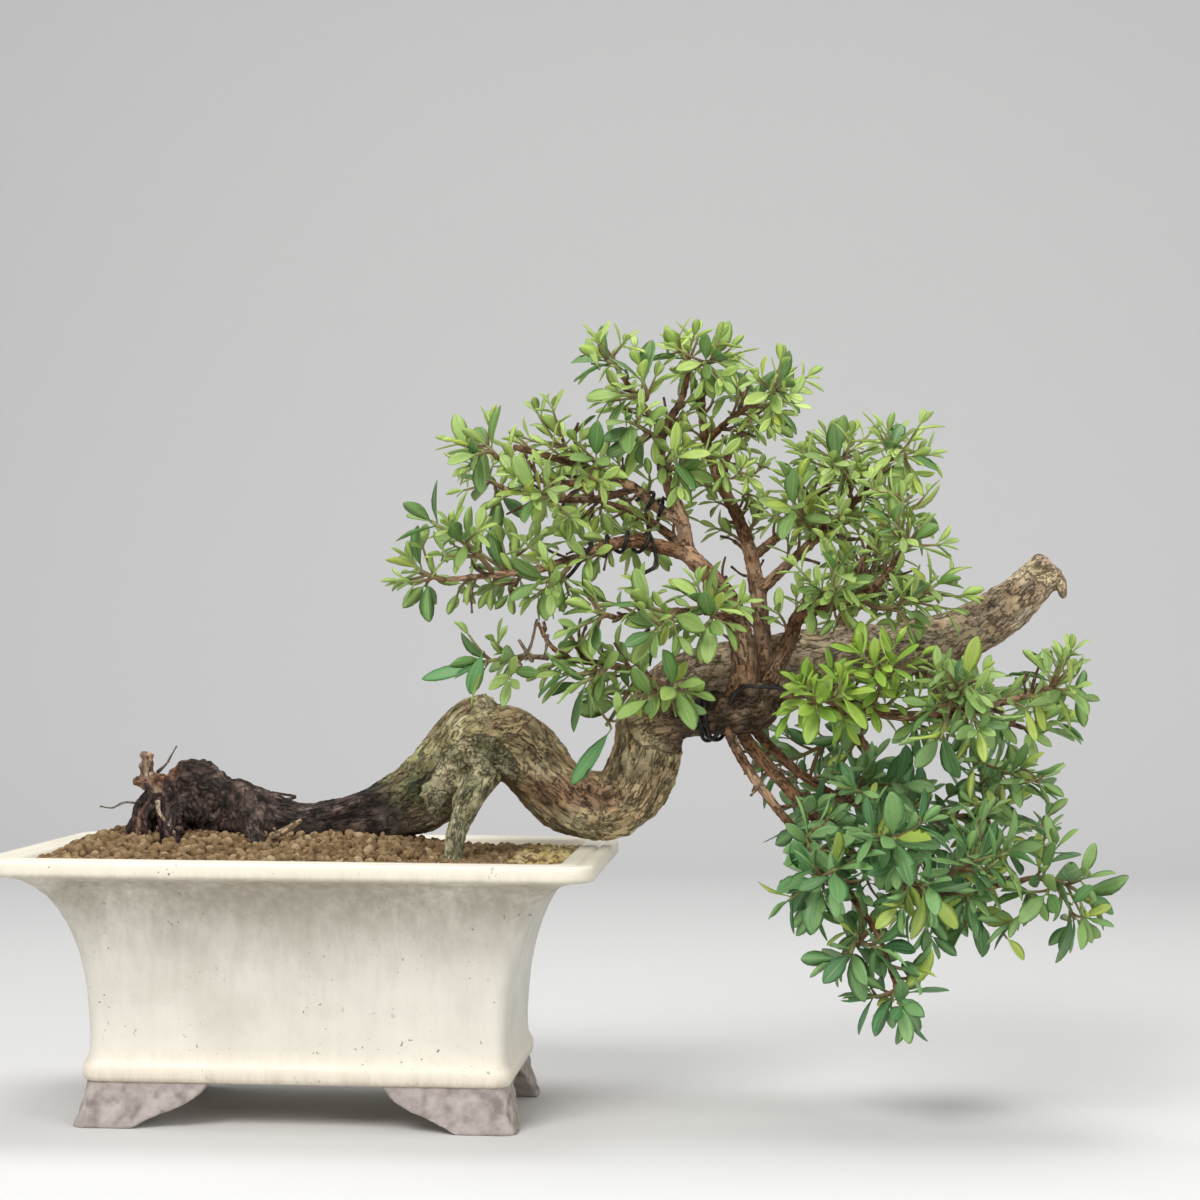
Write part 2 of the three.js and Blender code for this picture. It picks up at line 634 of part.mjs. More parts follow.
// A limb: rings along a line, with a share of bark relief, a blunt round end where asked
function limb(line, radii, sides, steps, options = {}) {
  const { grow = 0, bark = 0, blunt = [false, false] } = options;
  const list = stations(line, radii, steps);
  const ring = (at, radius, push) => {
    const points = [];
    for (let j = 0; j < sides; j++) {
      const angle = (2 * Math.PI * j) / sides;
      const r = (radius + grow) * (1 + bark * fluting(angle, at.t * (line.length - 1)));
      points.push(
        at.point
          .clone()
          .addScaledVector(at.tangent, push)
          .addScaledVector(at.side, r * Math.cos(angle))
          .addScaledVector(at.other, r * Math.sin(angle)),
      );
    }
    return points;
  };
  const first = list[0];
  const last = list[list.length - 1];
  const rings = list.map((at) => ring(at, at.radius, at === first ? -grow : at === last ? grow : 0));
  if (blunt[0]) rings.unshift(ring(first, first.radius * 0.55, -first.radius * 0.62 - grow));
  if (blunt[1]) rings.push(ring(last, last.radius * 0.55, last.radius * 0.62 + grow));
  return loft(rings);
}

function trunkLimbs(grow) {
  return Object.values(TRUNK).map(({ line, radii, steps, blunt }) =>
    limb(line, radii, 8, steps, { grow, bark: 1, blunt }),
  );
}

function rootLimbs(grow) {
  return Object.values(ROOTS).map(({ line, radii }) =>
    limb(line, radii, 5, line.length, { grow, bark: 0.6 }),
  );
}

// A low round scar, its foot sunk in the trunk
function scar({ at, out, radius }) {
  const geometry = new THREE.CylinderGeometry(radius * 0.7, radius, 5, 6);
  geometry.rotateX(Math.PI / 2);
  const turn = new THREE.Quaternion().setFromUnitVectors(UP, vec(out).normalize());
  geometry.applyQuaternion(turn);
  geometry.translate(at[0], at[1] + 0.6, at[2]);
  return solid(geometry);
}

function boughRadii({ line, girth }) {
  return line.map((_, i) => THREE.MathUtils.lerp(girth[0], girth[1], i / (line.length - 1)));
}

function boughSides({ girth }) {
  return girth[0] > 3 ? 5 : 4;
}

function boughLimb(bough) {
  return limb(bough.line, boughRadii(bough), boughSides(bough), bough.line.length - 1, { bark: 0.4 });
}

// Vertices that lie flat to within this distance are dropped from the fused wood and soil
const SMOOTHING = 0.1;

// The fused wood, with the shallow marks that the wires have pressed into its bark
function makeTree() {
  const parts = [
    ...trunkLimbs(0),
    ...rootLimbs(0),
    ...SCARS.map(scar),
    ...Object.values(BOUGHS).map(boughLimb),
  ];
  const marks = Object.values(makeWires()).map((points) => wireTube(points, GAP * Math.SQRT2));
  return smoothed(union(parts), SMOOTHING).subtract(union(marks));
}

function makeSoil() {
  const inset = GAP + 0.2;
  const brim = [wallRing(POT_HEIGHT + 9, 1, 13 + inset), wallRing(100, 1, 16.5 + inset)];
  const body = loft([...brim, ...innerWall(inset, FLOOR_TOP + GAP)]);
  const roots = union([...trunkLimbs(GAP + 0.1), ...rootLimbs(GAP + 0.1)]);
  const raw = body.intersect(grainField()).subtract(roots);
  return smoothed(raw.subtract(screenPocket(-1)).subtract(screenPocket(1)), SMOOTHING);
}

// Training wires: coils round a limb, with free stretches at their ends
const COIL_STEPS = 8;
const WIRE_ENDS = {
  leftFree: [[88, -20, 207], [95, -17, 212], [103, -14, 217]],
  leftHanging: [
    [137, -3, 222], [131, -6, 217], [131, -8, 210], [133, -10, 200], [136, -12, 190], [135, -14, 181],
  ],
  armStart: [[147, -3, 164], [153, -4.5, 166]],
  armEnd: [[170, -15, 171], [180, -17, 173], [192, -17, 172]],
};

function coil(line, radii, from, to, turns, start) {
  const curve = lineCurve(line);
  const steps = Math.round(turns * COIL_STEPS);
  const points = [];
  const frames = stations(line, radii, 60);
  for (let i = 0; i <= steps; i++) {
    const t = THREE.MathUtils.lerp(from, to, i / steps);
    const frame = frames[Math.round(t * 60)];
    const angle = start + (2 * Math.PI * turns * i) / steps;
    const r = (radiusAt(radii, t) + WIRE_RADIUS + GAP / 2) / Math.cos(Math.PI / COIL_STEPS);
    points.push(
      curve
        .getPoint(t)
        .addScaledVector(frame.side, r * Math.cos(angle))
        .addScaledVector(frame.other, r * Math.sin(angle)),
    );
  }
  return points;
}

function wireTube(points, grow) {
  const radii = points.map(() => WIRE_RADIUS);
  return limb(points.map((p) => p.toArray()), radii, 4, points.length - 1, { grow });
}

function makeWires() {
  const { left, crown_left: crownLeft } = BOUGHS;
  const { arm } = TRUNK;
  const { leftFree, leftHanging, armStart, armEnd } = WIRE_ENDS;
  return {
    arm_wire: [
      ...armStart.map(vec),
      ...coil(arm.line, arm.radii, 0.4, 0.48, 2, 3.9),
      ...armEnd.map(vec),
    ],
    left_wire: [
      ...leftFree.map(vec),
      ...coil(left.line, boughRadii(left), 0.46, 0.18, 3, 4.4),
      ...leftHanging.map(vec),
    ],
    crown_left_wire: coil(crownLeft.line, boughRadii(crownLeft), 0.12, 0.28, 2, 2.6),
  };
}

// Half widths of a blade, as shares of its full half width, at shares of its length
const OUTLINE = [[0.3, 0.9], [0.72, 0.92]];
// Where along its length a blade is thickest
const BLADE_CREST = 0.4;

// A point on a blade's middle surface, s along it and v across it, both as shares
function bladePoint(leaf, s, v) {
  return leaf.foot
    .clone()
    .addScaledVector(leaf.along, leaf.length * s)
    .addScaledVector(leaf.across, (leaf.width / 2) * v)
    .addScaledVector(leaf.normal, -BLADE_ARCH * leaf.length * s * s);
}

// Adds a blade that grows out of one side of a square shoot. The side's corners run round it as
// lower a, lower b, upper b, upper a. The blade is thickest at its crest and thins to its edge.
function addBlade(points, faces, leaf, [lowA, lowB, highB, highA]) {
  const first = points.length;
  points.push(...OUTLINE.map(([s, w]) => bladePoint(leaf, s, -w)));
  points.push(bladePoint(leaf, 1, 0));
  points.push(...OUTLINE.map(([s, w]) => bladePoint(leaf, s, w)).reverse());
  const last = points.length - 1;
  const crest = bladePoint(leaf, BLADE_CREST, 0);
  points.push(crest.clone().addScaledVector(leaf.normal, BLADE_THICKNESS / 2));
  points.push(crest.clone().addScaledVector(leaf.normal, -BLADE_THICKNESS / 2));
  const top = last + 1;
  const under = last + 2;
  for (let i = first; i < last; i++) faces.push(i, top, i + 1, under, i, i + 1);
  faces.push(lowA, lowB, under, lowB, first, under, lowB, highB, first, highB, top, first);
  faces.push(highB, highA, top, highA, last, top, highA, lowA, last, lowA, under, last);
}

// Straight pieces of limbs, shoots and wires that a blade or a shoot must keep clear of
const obstacles = [];

function addObstacle(owner, points, radii) {
  for (let i = 0; i + 1 < points.length; i++) {
    obstacles.push({ owner, a: points[i], b: points[i + 1], radius: Math.max(radii[i], radii[i + 1]) });
  }
}

function addLimbObstacle(owner, line, radii, steps) {
  const list = stations(line, radii, steps);
  addObstacle(owner, list.map((at) => at.point), list.map((at) => at.radius * 1.08));
}

function distanceToPiece(point, { a, b }) {
  const edge = b.clone().sub(a);
  const t = THREE.MathUtils.clamp(point.clone().sub(a).dot(edge) / edge.lengthSq(), 0, 1);
  return point.distanceTo(a.clone().addScaledVector(edge, t));
}

function clearOfPieces(points, margin, owner) {
  return points.every((p) =>
    obstacles.every((piece) => piece.owner === owner || distanceToPiece(p, piece) > piece.radius + margin),
  );
}

function bezier(a, b, c, t) {
  return a
    .clone()
    .multiplyScalar((1 - t) ** 2)
    .addScaledVector(b, 2 * t * (1 - t))
    .addScaledVector(c, t * t);
}

// A shoot from a foot to a tip, bowed aside by a seeded rule until it is clear of what is there
function makeStem(foot, leave, leafTip, girth, owner, seed) {
  const whole = foot.distanceTo(leafTip);
  const tip = foot.clone().lerp(leafTip, Math.max(1 - TIP_REACH / whole, 0.4));
  const reach = foot.distanceTo(tip);
  const straight = tip.clone().sub(foot).normalize();
  const sideA = new THREE.Vector3().crossVectors(straight, leave).add(NUDGE).normalize();
  const sideB = new THREE.Vector3().crossVectors(straight, sideA).normalize();
  let stem;
  for (let k = 0; k < 9; k++) {
    const angle = (2 * Math.PI * (draw(seed, 5) + k * 3)) / 8;
    const bow = k === 0 ? 0 : 0.12 * reach * Math.ceil(k / 4);
    const middle = foot
      .clone()
      .addScaledVector(leave, 0.42 * reach)
      .addScaledVector(sideA, bow * Math.cos(angle))
      .addScaledVector(sideB, bow * Math.sin(angle));
    const at = (t) => bezier(foot, middle, tip, t);
    stem = { at, girth, reach, seed, owner };
    const samples = [];
    for (let i = 2; i <= 16; i++) samples.push(at(i / 16));
    if (clearOfPieces(samples, girth[0] + GAP + 0.2, owner)) break;
  }
  return stem;
}

// Where along a main stem its side stems leave it
const FORK_AT = 0.4;
// Share of a stem's length between two steps of its frame
const FRAME_STEP = 0.08;

function stemTangent(stem, t) {
  const d = 0.01;
  return stem.at(Math.min(t + d, 1)).sub(stem.at(Math.max(t - d, 0))).normalize();
}

// The middle of a bough at a place, its direction there, and the flat side that faces a target
function boughSection(bough, at, target) {
  const steps = bough.line.length - 1;
  const list = stations(bough.line, boughRadii(bough), steps);
  const i = Math.min(Math.floor(at * steps), steps - 1);
  const share = at * steps - i;
  const mix = (key) => list[i][key].clone().lerp(list[i + 1][key], share);
  const centre = mix("point");
  const towards = vec(target).sub(centre);
  const sector = (2 * Math.PI) / boughSides(bough);
  const angle = Math.atan2(towards.dot(mix("other")), towards.dot(mix("side")));
  const middle = (Math.floor(angle / sector) + 0.5) * sector;
  const seat = mix("side").multiplyScalar(Math.cos(middle)).addScaledVector(mix("other"), Math.sin(middle));
  const reach = THREE.MathUtils.lerp(list[i].radius, list[i + 1].radius, share) * Math.cos(sector / 2);
  return { centre, tangent: mix("tangent").normalize(), seat: seat.normalize(), reach };
}

// Where a spray leaves its bough: just outside the bark, on the side that faces its first tip
function sprayFoot({ bough, at, tips }) {
  const { centre, tangent, seat, reach } = boughSection(BOUGHS[bough], at, tips[0]);
  if (at > 0.99) return { foot: centre.addScaledVector(tangent, GAP), leave: tangent, seat: tangent };
  const foot = centre.addScaledVector(seat, reach + GAP + SEAT_PLAY);
  return { foot, leave: seat.clone().addScaledVector(tangent, 0.25).normalize(), seat };
}

function sprayStems(row, index) {
  const { foot, leave, seat } = sprayFoot(row);
  const main = makeStem(foot, leave, vec(row.tips[0]), SHOOT_GIRTH, index, 10 * index);
  main.seat = seat;
  main.forks = row.tips.length > 1;
  const stems = [main];
  const start = main.at(FORK_AT);
  row.tips.slice(1).forEach((tip, k) => {
    const out = vec(tip).sub(start).normalize().add(stemTangent(main, FORK_AT)).normalize();
    stems.push(makeStem(start, out, vec(tip), SIDE_GIRTH, index, 10 * index + k + 1));
  });
  return stems;
}

const placedBlades = [];
const SAMPLES = [];
for (const s of [0.16, 0.3, 0.44, 0.58, 0.72, 0.86, 1]) {
  for (const v of [-0.8, 0, 0.8]) SAMPLES.push([s, v]);
}

function bladeSamples(leaf) {
  return SAMPLES.map(([s, v]) => bladePoint(leaf, s, s > 0.95 ? 0 : v));
}

// True if any of the points lies within a thin skin round the leaf
function pointsTouchBlade(points, leaf) {
  return points.some((p) => {
    const d = p.clone().sub(leaf.foot);
    const s = d.dot(leaf.along) / leaf.length;
    const v = (2 * d.dot(leaf.across)) / leaf.width;
    const h = d.dot(leaf.normal) + BLADE_ARCH * leaf.length * s * s;
    return s > -0.08 && s < 1.08 && Math.abs(v) < 1.25 && Math.abs(h) < 1.9;
  });
}

function bladesTouch(a, b) {
  if (a.middle.distanceTo(b.middle) > (a.length + b.length) / 2 + 4) return false;
  return pointsTouchBlade(a.samples, b) || pointsTouchBlade(b.samples, a);
}

// Two directions across a stem: level at its tip, and carried down it with no twist to its seat
function stemFrame(stem, t) {
  const tip = stemTangent(stem, 1);
  const flat = new THREE.Vector3().crossVectors(tip, UP).add(NUDGE);
  const turnTo = (direction) => flat.addScaledVector(direction, -flat.dot(direction)).normalize();
  turnTo(tip);
  for (let s = 1 - FRAME_STEP; s > t; s -= FRAME_STEP) turnTo(stemTangent(stem, s));
  const tangent = t === 0 && stem.seat ? stem.seat : stemTangent(stem, t);
  turnTo(tangent);
  return { tangent, flat, rise: new THREE.Vector3().crossVectors(flat, tangent) };
}

function stemGirth(stem, t) {
  return THREE.MathUtils.lerp(stem.girth[0], stem.girth[1], t);
}

// A leaf on a stem: t along it, turned round it by roll and opened from it by spread
function orientLeaf(stem, t, roll, spread, length) {
  const { tangent, flat, rise } = stemFrame(stem, t);
  const side = flat.clone().multiplyScalar(Math.cos(roll)).addScaledVector(rise, Math.sin(roll));
  const foot = stem.at(t).addScaledVector(side, stemGirth(stem, t) * 0.5);
  const along = tangent.clone().multiplyScalar(Math.cos(spread)).addScaledVector(side, Math.sin(spread));
  const face = tangent.clone().addScaledVector(UP, 0.5);
  face.addScaledVector(along, -face.dot(along)).normalize();
  const across = new THREE.Vector3().crossVectors(face, along).normalize();
  const width = BLADE_WIDTH * length;
  const leaf = { foot, along, across, normal: face, length, width, owner: stem.owner, stem: stem.seed };
  leaf.middle = bladePoint(leaf, 0.5, 0);
  leaf.samples = bladeSamples(leaf);
  return leaf;
}

function leafIsClear(leaf) {
  return (
    clearOfPieces(leaf.samples, BLADE_THICKNESS / 2 + GAP + 0.35, leaf.owner) &&
    placedBlades.every((other) => other.stem === leaf.stem || !bladesTouch(leaf, other))
  );
}

// Tries a leaf in a few positions of its stalk, and leaves it out where none is clear
function placeLeaf(stem, t, roll, spread, length, seed) {
  for (let k = 0; k < 9; k++) {
    const turn = k === 0 ? 0 : (draw(seed, 20 + k) - 0.5) * 1.3;
    const open = k === 0 ? 0 : (draw(seed, 30 + k) - 0.5) * 0.9;
    const leaf = orientLeaf(stem, t, roll + turn, spread + open, length * (k > 4 ? 0.8 : 1));
    if (leafIsClear(leaf)) {
      placedBlades.push(leaf);
      return leaf;
    }
  }
  return null;
}

// One opposite pair: its two sides of the shoot are 0 and 2, or 1 and 3 where crossed is 1
function placePair(stem, t, twist, crossed, spread, length, seed) {
  const leaves = [0, 1].map((half) => {
    const side = crossed + 2 * half;
    const size = length * (0.9 + 0.2 * draw(seed, 3 + half));
    return { side, leaf: placeLeaf(stem, t, twist + (side * Math.PI) / 2, spread, size, seed * 2 + half) };
  });
  return { t, twist, leaves };
}

// Two crossed pairs close together at the tip, then one pair at each step down the shoot
function placePairs(stem, young, steps) {
  const height = THREE.MathUtils.smoothstep(stem.at(1).z, 130, 220);
  const size = young ? 16 : THREE.MathUtils.lerp(LEAF_LENGTH[0], LEAF_LENGTH[1], height);
  const half = NODE_LENGTH / 2 / stem.reach;
  const seed = stem.seed * 7;
  const twist = 0.9 * (draw(seed, 1) - 0.5);
  const pairs = [
    placePair(stem, 1 - half, twist, 0, 0.45, size * 0.82, seed),
    placePair(stem, 1 - 3 * half, twist, 1, 0.85, size, seed + 1),
  ];
  for (let i = 1; i <= steps; i++) {
    const t = 1 - (NODE_LENGTH + i * LEAF_SPACING) / stem.reach;
    if (t - half < (stem.forks ? FORK_AT + 0.05 : 0.2)) break;
    const turn = twist + 0.7 * (draw(seed + i, 2) - 0.5);
    pairs.push(placePair(stem, t, turn, (i + 1) % 2, 0.95, size, seed + i + 1));
  }
  return pairs.reverse();
}

// A square ring round a stem, turned by twist so that its sides face the leaves
function shootRing(stem, t, twist) {
  const { flat, rise } = stemFrame(stem, t);
  return [0, 1, 2, 3].map((j) => {
    const angle = twist + (j - 0.5) * (Math.PI / 2);
    return stem
      .at(t)
      .addScaledVector(flat, stemGirth(stem, t) * Math.cos(angle))
      .addScaledVector(rise, stemGirth(stem, t) * Math.sin(angle));
  });
}

// A square shoot with its leaves, each grown out of the side that it faces
function shootSolid(stem, pairs) {
  const half = NODE_LENGTH / 2 / stem.reach;
  const stops = [{ t: 0, twist: pairs[0].twist }];
  if (stem.forks) stops.push({ t: FORK_AT, twist: pairs[0].twist });
  pairs.forEach(({ t, twist, leaves }, i) => {
    stops.push({ t: t - half, twist, leaves });
    if (i !== pairs.length - 2) stops.push({ t: t + half, twist });
  });
  const points = stops.flatMap(({ t, twist }) => shootRing(stem, Math.min(t, 1), twist));
  const faces = [0, 2, 1, 0, 3, 2];
  stops.slice(1).forEach((_, i) => {
    for (let j = 0; j < 4; j++) {
      const a = 4 * i + j;
      const b = 4 * i + ((j + 1) % 4);
      const grown = stops[i].leaves?.find(({ side, leaf }) => side === j && leaf);
      if (grown) addBlade(points, faces, grown.leaf, [a, b, b + 4, a + 4]);
      else faces.push(a, b, b + 4, a, b + 4, a + 4);
    }
  });
  const end = 4 * (stops.length - 1);
  faces.push(end, end + 1, end + 2, end, end + 2, end + 3);
  const geometry = new THREE.BufferGeometry().setFromPoints(points);
  geometry.setIndex(faces);
  return solid(geometry);
}

function makeSprays() {
  Object.entries(TRUNK).forEach(([name, { line, radii }]) => addLimbObstacle(name, line, radii, 24));
  Object.entries(ROOTS).forEach(([name, { line, radii }]) => addLimbObstacle(name, line, radii, 6));
  Object.entries(BOUGHS).forEach(([name, bough]) => {
    addLimbObstacle(name, bough.line, boughRadii(bough), 24);
  });
  Object.entries(makeWires()).forEach(([name, points]) => {
    addObstacle(name, points, points.map(() => WIRE_RADIUS));
  });
  const sprays = SPRAYS.map((row, index) => {
    const stems = sprayStems(row, index);
    stems.forEach((stem) => {
      const points = [];
      for (let i = 0; i <= 8; i++) points.push(stem.at(i / 8));
      addObstacle(index, points, points.map(() => stem.girth[0]));
    });
    return stems;
  });
  return sprays.map((stems, index) => {
    const young = Boolean(SPRAYS[index].young);
    const shoots = stems.map((stem, k) => shootSolid(stem, placePairs(stem, young, k === 0 ? 2 : 0)));
    return smoothed(union(shoots), 0.02);
  });
}

addNode("pot", makePot(), "glaze");
addNode("drain_screen_left", makeScreen(-1), "screen");
addNode("drain_screen_right", makeScreen(1), "screen");
addNode("soil", makeSoil(), "soil");
addNode("tree", makeTree(), "bark");
Object.entries(makeWires()).forEach(([name, points]) => addNode(name, wireTube(points, 0), "wire"));

const sprayCount = {};
makeSprays().forEach((spray, index) => {
  const { bough, young } = SPRAYS[index];
  sprayCount[bough] = (sprayCount[bough] ?? 0) + 1;
  addNode(`spray_${bough}_${sprayCount[bough]}`, spray, young ? "young_leaf" : "leaf");
});

const box = new THREE.Box3().setFromObject(group);
const middle = box.getCenter(new THREE.Vector3());
group.position.set(-middle.x, -middle.y, -box.min.z);

export default group;
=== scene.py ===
# A semi-cascade Syzygium buxifolium bonsai in a cream rectangular pot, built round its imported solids.
# Shapes are worked out in millimetres from the middle of the pot's foot, and stored in metres.
import math

import bmesh
import bpy
import numpy as np
from mathutils import Matrix, Vector
from mathutils.kdtree import KDTree


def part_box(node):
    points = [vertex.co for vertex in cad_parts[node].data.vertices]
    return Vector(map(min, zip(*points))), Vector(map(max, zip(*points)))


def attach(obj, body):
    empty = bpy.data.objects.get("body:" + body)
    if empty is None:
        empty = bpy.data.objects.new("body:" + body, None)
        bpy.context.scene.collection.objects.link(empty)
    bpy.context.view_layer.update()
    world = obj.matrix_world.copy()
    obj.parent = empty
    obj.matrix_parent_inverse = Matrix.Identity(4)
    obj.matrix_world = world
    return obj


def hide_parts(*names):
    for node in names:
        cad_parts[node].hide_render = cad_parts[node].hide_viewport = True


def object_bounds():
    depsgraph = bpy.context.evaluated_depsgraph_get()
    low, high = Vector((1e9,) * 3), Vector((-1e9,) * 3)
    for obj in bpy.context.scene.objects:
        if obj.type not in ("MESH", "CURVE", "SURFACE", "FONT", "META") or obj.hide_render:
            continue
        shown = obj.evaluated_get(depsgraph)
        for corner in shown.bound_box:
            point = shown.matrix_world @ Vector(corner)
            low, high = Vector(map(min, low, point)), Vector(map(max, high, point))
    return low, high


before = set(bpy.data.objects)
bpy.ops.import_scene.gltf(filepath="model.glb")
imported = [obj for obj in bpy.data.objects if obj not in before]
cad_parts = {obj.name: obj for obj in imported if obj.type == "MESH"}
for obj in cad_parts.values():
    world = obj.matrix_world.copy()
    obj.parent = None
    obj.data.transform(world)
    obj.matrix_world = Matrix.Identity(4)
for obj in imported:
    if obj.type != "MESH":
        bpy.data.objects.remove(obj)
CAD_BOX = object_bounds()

MM = 0.001
pot_low, pot_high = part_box("pot")
ORIGIN = np.array([(pot_low.x + pot_high.x) / 2, (pot_low.y + pot_high.y) / 2, pot_low.z]) / MM

# Air between touching solids
GAP = 0.3
RIM_HALF = (118, 84)
NECK_HALF = (82, 49)
BODY_BASE = 17.6
WALL = 7.5
FLOOR_TOP = 24
RIM_CORNER = 13
NECK_CORNER = 6
# The top of the rim: height, flare and inset
RIM_TOP = [
    (101.6, 1, 0), (104.6, 1, 0), (105.6, 1, 0.4), (106, 1, 1.2), (106, 1, 4.2), (105.7, 1, 4.7),
    (105.2, 1, 5.2), (105.1, 1, 5.8), (105.2, 1, 6.4), (105.7, 1, 6.8), (106, 1, 7.3), (106, 1, 12.6),
    (105.6, 1, 13.4), (104.8, 1, 14), (100, 1, 16.5),
]
# How far the outer wall flares from the neck (0) to the rim (1) at each height
FLARE = [
    (17.6, 0.02), (18.4, 0.05), (20, 0.065), (23, 0.065), (24.4, 0.05), (27, 0.012), (31, 0.002), (36, 0),
    (45, 0.014), (54, 0.035), (61, 0.067), (68, 0.11), (74, 0.163), (80, 0.23), (85, 0.305), (90, 0.4),
    (94, 0.52), (97, 0.64), (98.6, 0.78), (99.4, 0.95), (100.0, 0.99), (100.8, 1),
]
FOOT_SPREAD = 4
FOOT_THICKNESS = 11
FOOT_EDGE = [(24, 0), (32, 4.2), (42, 8.2), (49, 12.4), (54, 18.2)]
SHORT_SIDE_SCALE = 0.66
DRAIN_RADIUS = 8
DRAIN_X = 42
SOIL_EDGE = 100.5
SOIL_RIDGE = 8.5

BLADE_THICKNESS = 1.1
BLADE_WIDTH = 0.42
BLADE_ARCH = 0.16
SHOOT_GIRTH = (1.3, 0.8)
SIDE_GIRTH = (1, 0.75)
LEAF_LENGTH = (21, 17.5)
LEAF_SPACING = 11
NODE_LENGTH = 1.4
SEAT_PLAY = 0.1
TIP_REACH = 16
WIRE_RADIUS = 0.9
FORK_AT = 0.4
FRAME_STEP = 0.08
COIL_STEPS = 8

# Thick limbs of the trunk: points on the centre line, each with the radius there
TRUNK = {
    "lying": [
        (-64, 0, 126, 8.5), (-52, 0, 125, 11), (-33, 0, 121, 11), (-8, 2, 114.5, 9.2), (18, 4, 118.5, 11),
        (40, 6, 126, 14), (54, 8, 139, 16), (64, 10, 150, 17.5), (72, 11, 153, 16),
    ],
    "falling": [
        (66, 10, 150, 15.5), (76, 12, 148.5, 15.5), (84, 15, 142, 13.8), (92, 17, 133.5, 13.3),
        (101, 19, 126, 13.4), (110, 21, 122.5, 13.2), (116, 22, 122.5, 11.5),
    ],
    "rising": [
        (104, 20, 125.5, 11), (112, 21.5, 122.5, 12.6), (120, 22, 123.5, 13), (126.5, 23, 130, 13.4),
        (131.5, 24, 143, 13.8), (134, 23, 156, 13.6), (136, 23, 163, 11),
    ],
    "rear": [
        (135, 23, 157, 11.5), (141, 28, 168, 12), (154, 34, 177, 12), (179, 38, 181.5, 11.8),
        (208, 40, 185, 11.5), (237, 38, 189.5, 11), (262, 36, 195, 10.6), (282, 34, 207, 9.4),
        (298, 32, 222.5, 7.6),
    ],
    "arm": [
        (134, 21, 156, 11), (146, 12, 160.5, 9), (158, 4, 160.5, 7.6), (169, -2, 162.5, 9),
        (179, -4, 166.5, 9.6), (184, -4, 170, 6),
    ],
}

# The share of its radius that a limb's round ends stand out, where they don't run into another limb
BLUNT_ENDS = { "lying": (1, 0.4), "arm": (0.4, 1) }

# Surface roots at the old end, and the aerial root under the arch
ROOTS = {
    "stump_column": [(-58, -2, 124, 6), (-67, -6, 122, 5.4), (-72, -9, 114, 4.8), (-72, -11, 101, 4)],
    "front_column": [(-54, -6, 122, 6), (-58, -12, 117, 5), (-57, -17, 108, 4.2), (-56, -19, 100, 3.4)],
    "back_column": [(-54, 4, 126, 6), (-62, 14, 122, 5), (-69, 24, 112, 4.2), (-72, 30, 100, 3.4)],
    "side_root": [(-54, -2, 133, 3.4), (-63, -6, 133.5, 2.6), (-74, -8, 132, 2.1)],
    "upright_root": [(-68, -7, 130, 2.6), (-69, -7, 136, 2.3), (-70, -8, 144, 2.9)],
    "crest": [(-60, 2, 128, 6), (-54, 1, 134, 7), (-45, 1, 133, 6.6), (-36, 1, 127, 5)],
    "buttress": [(-30, -4, 121, 6), (-24, -14, 113, 4.2), (-18, -24, 104, 3)],
    "aerial_root": [
        (68, -2, 136, 7), (66, -9, 132, 6), (63, -20, 124, 4.8), (60.5, -30, 115.5, 4), (60, -36, 106, 3.8),
        (60, -38, 98, 3.6),
    ],
    "spur": [(62, -6, 133, 2.2), (58, -12, 128, 1.6), (57, -14, 122, 1.1)],
}

# Healed scars on the arch: place, outward direction and radius
SCARS = [
    ((64, -6, 151), (-0.1, -1, 0.15), 3.6),
    ((70, -5, 152), (0.2, -1, 0.2), 3),
    ((57, -8, 142), (-0.2, -1, 0), 4.2),
    ((67, -8, 141), (0.1, -1, -0.1), 3.8),
    ((42, -7, 130), (-0.1, -1, 0.1), 3.6),
    ((166, -10, 166), (-0.2, -1, 0.4), 3.2),
]

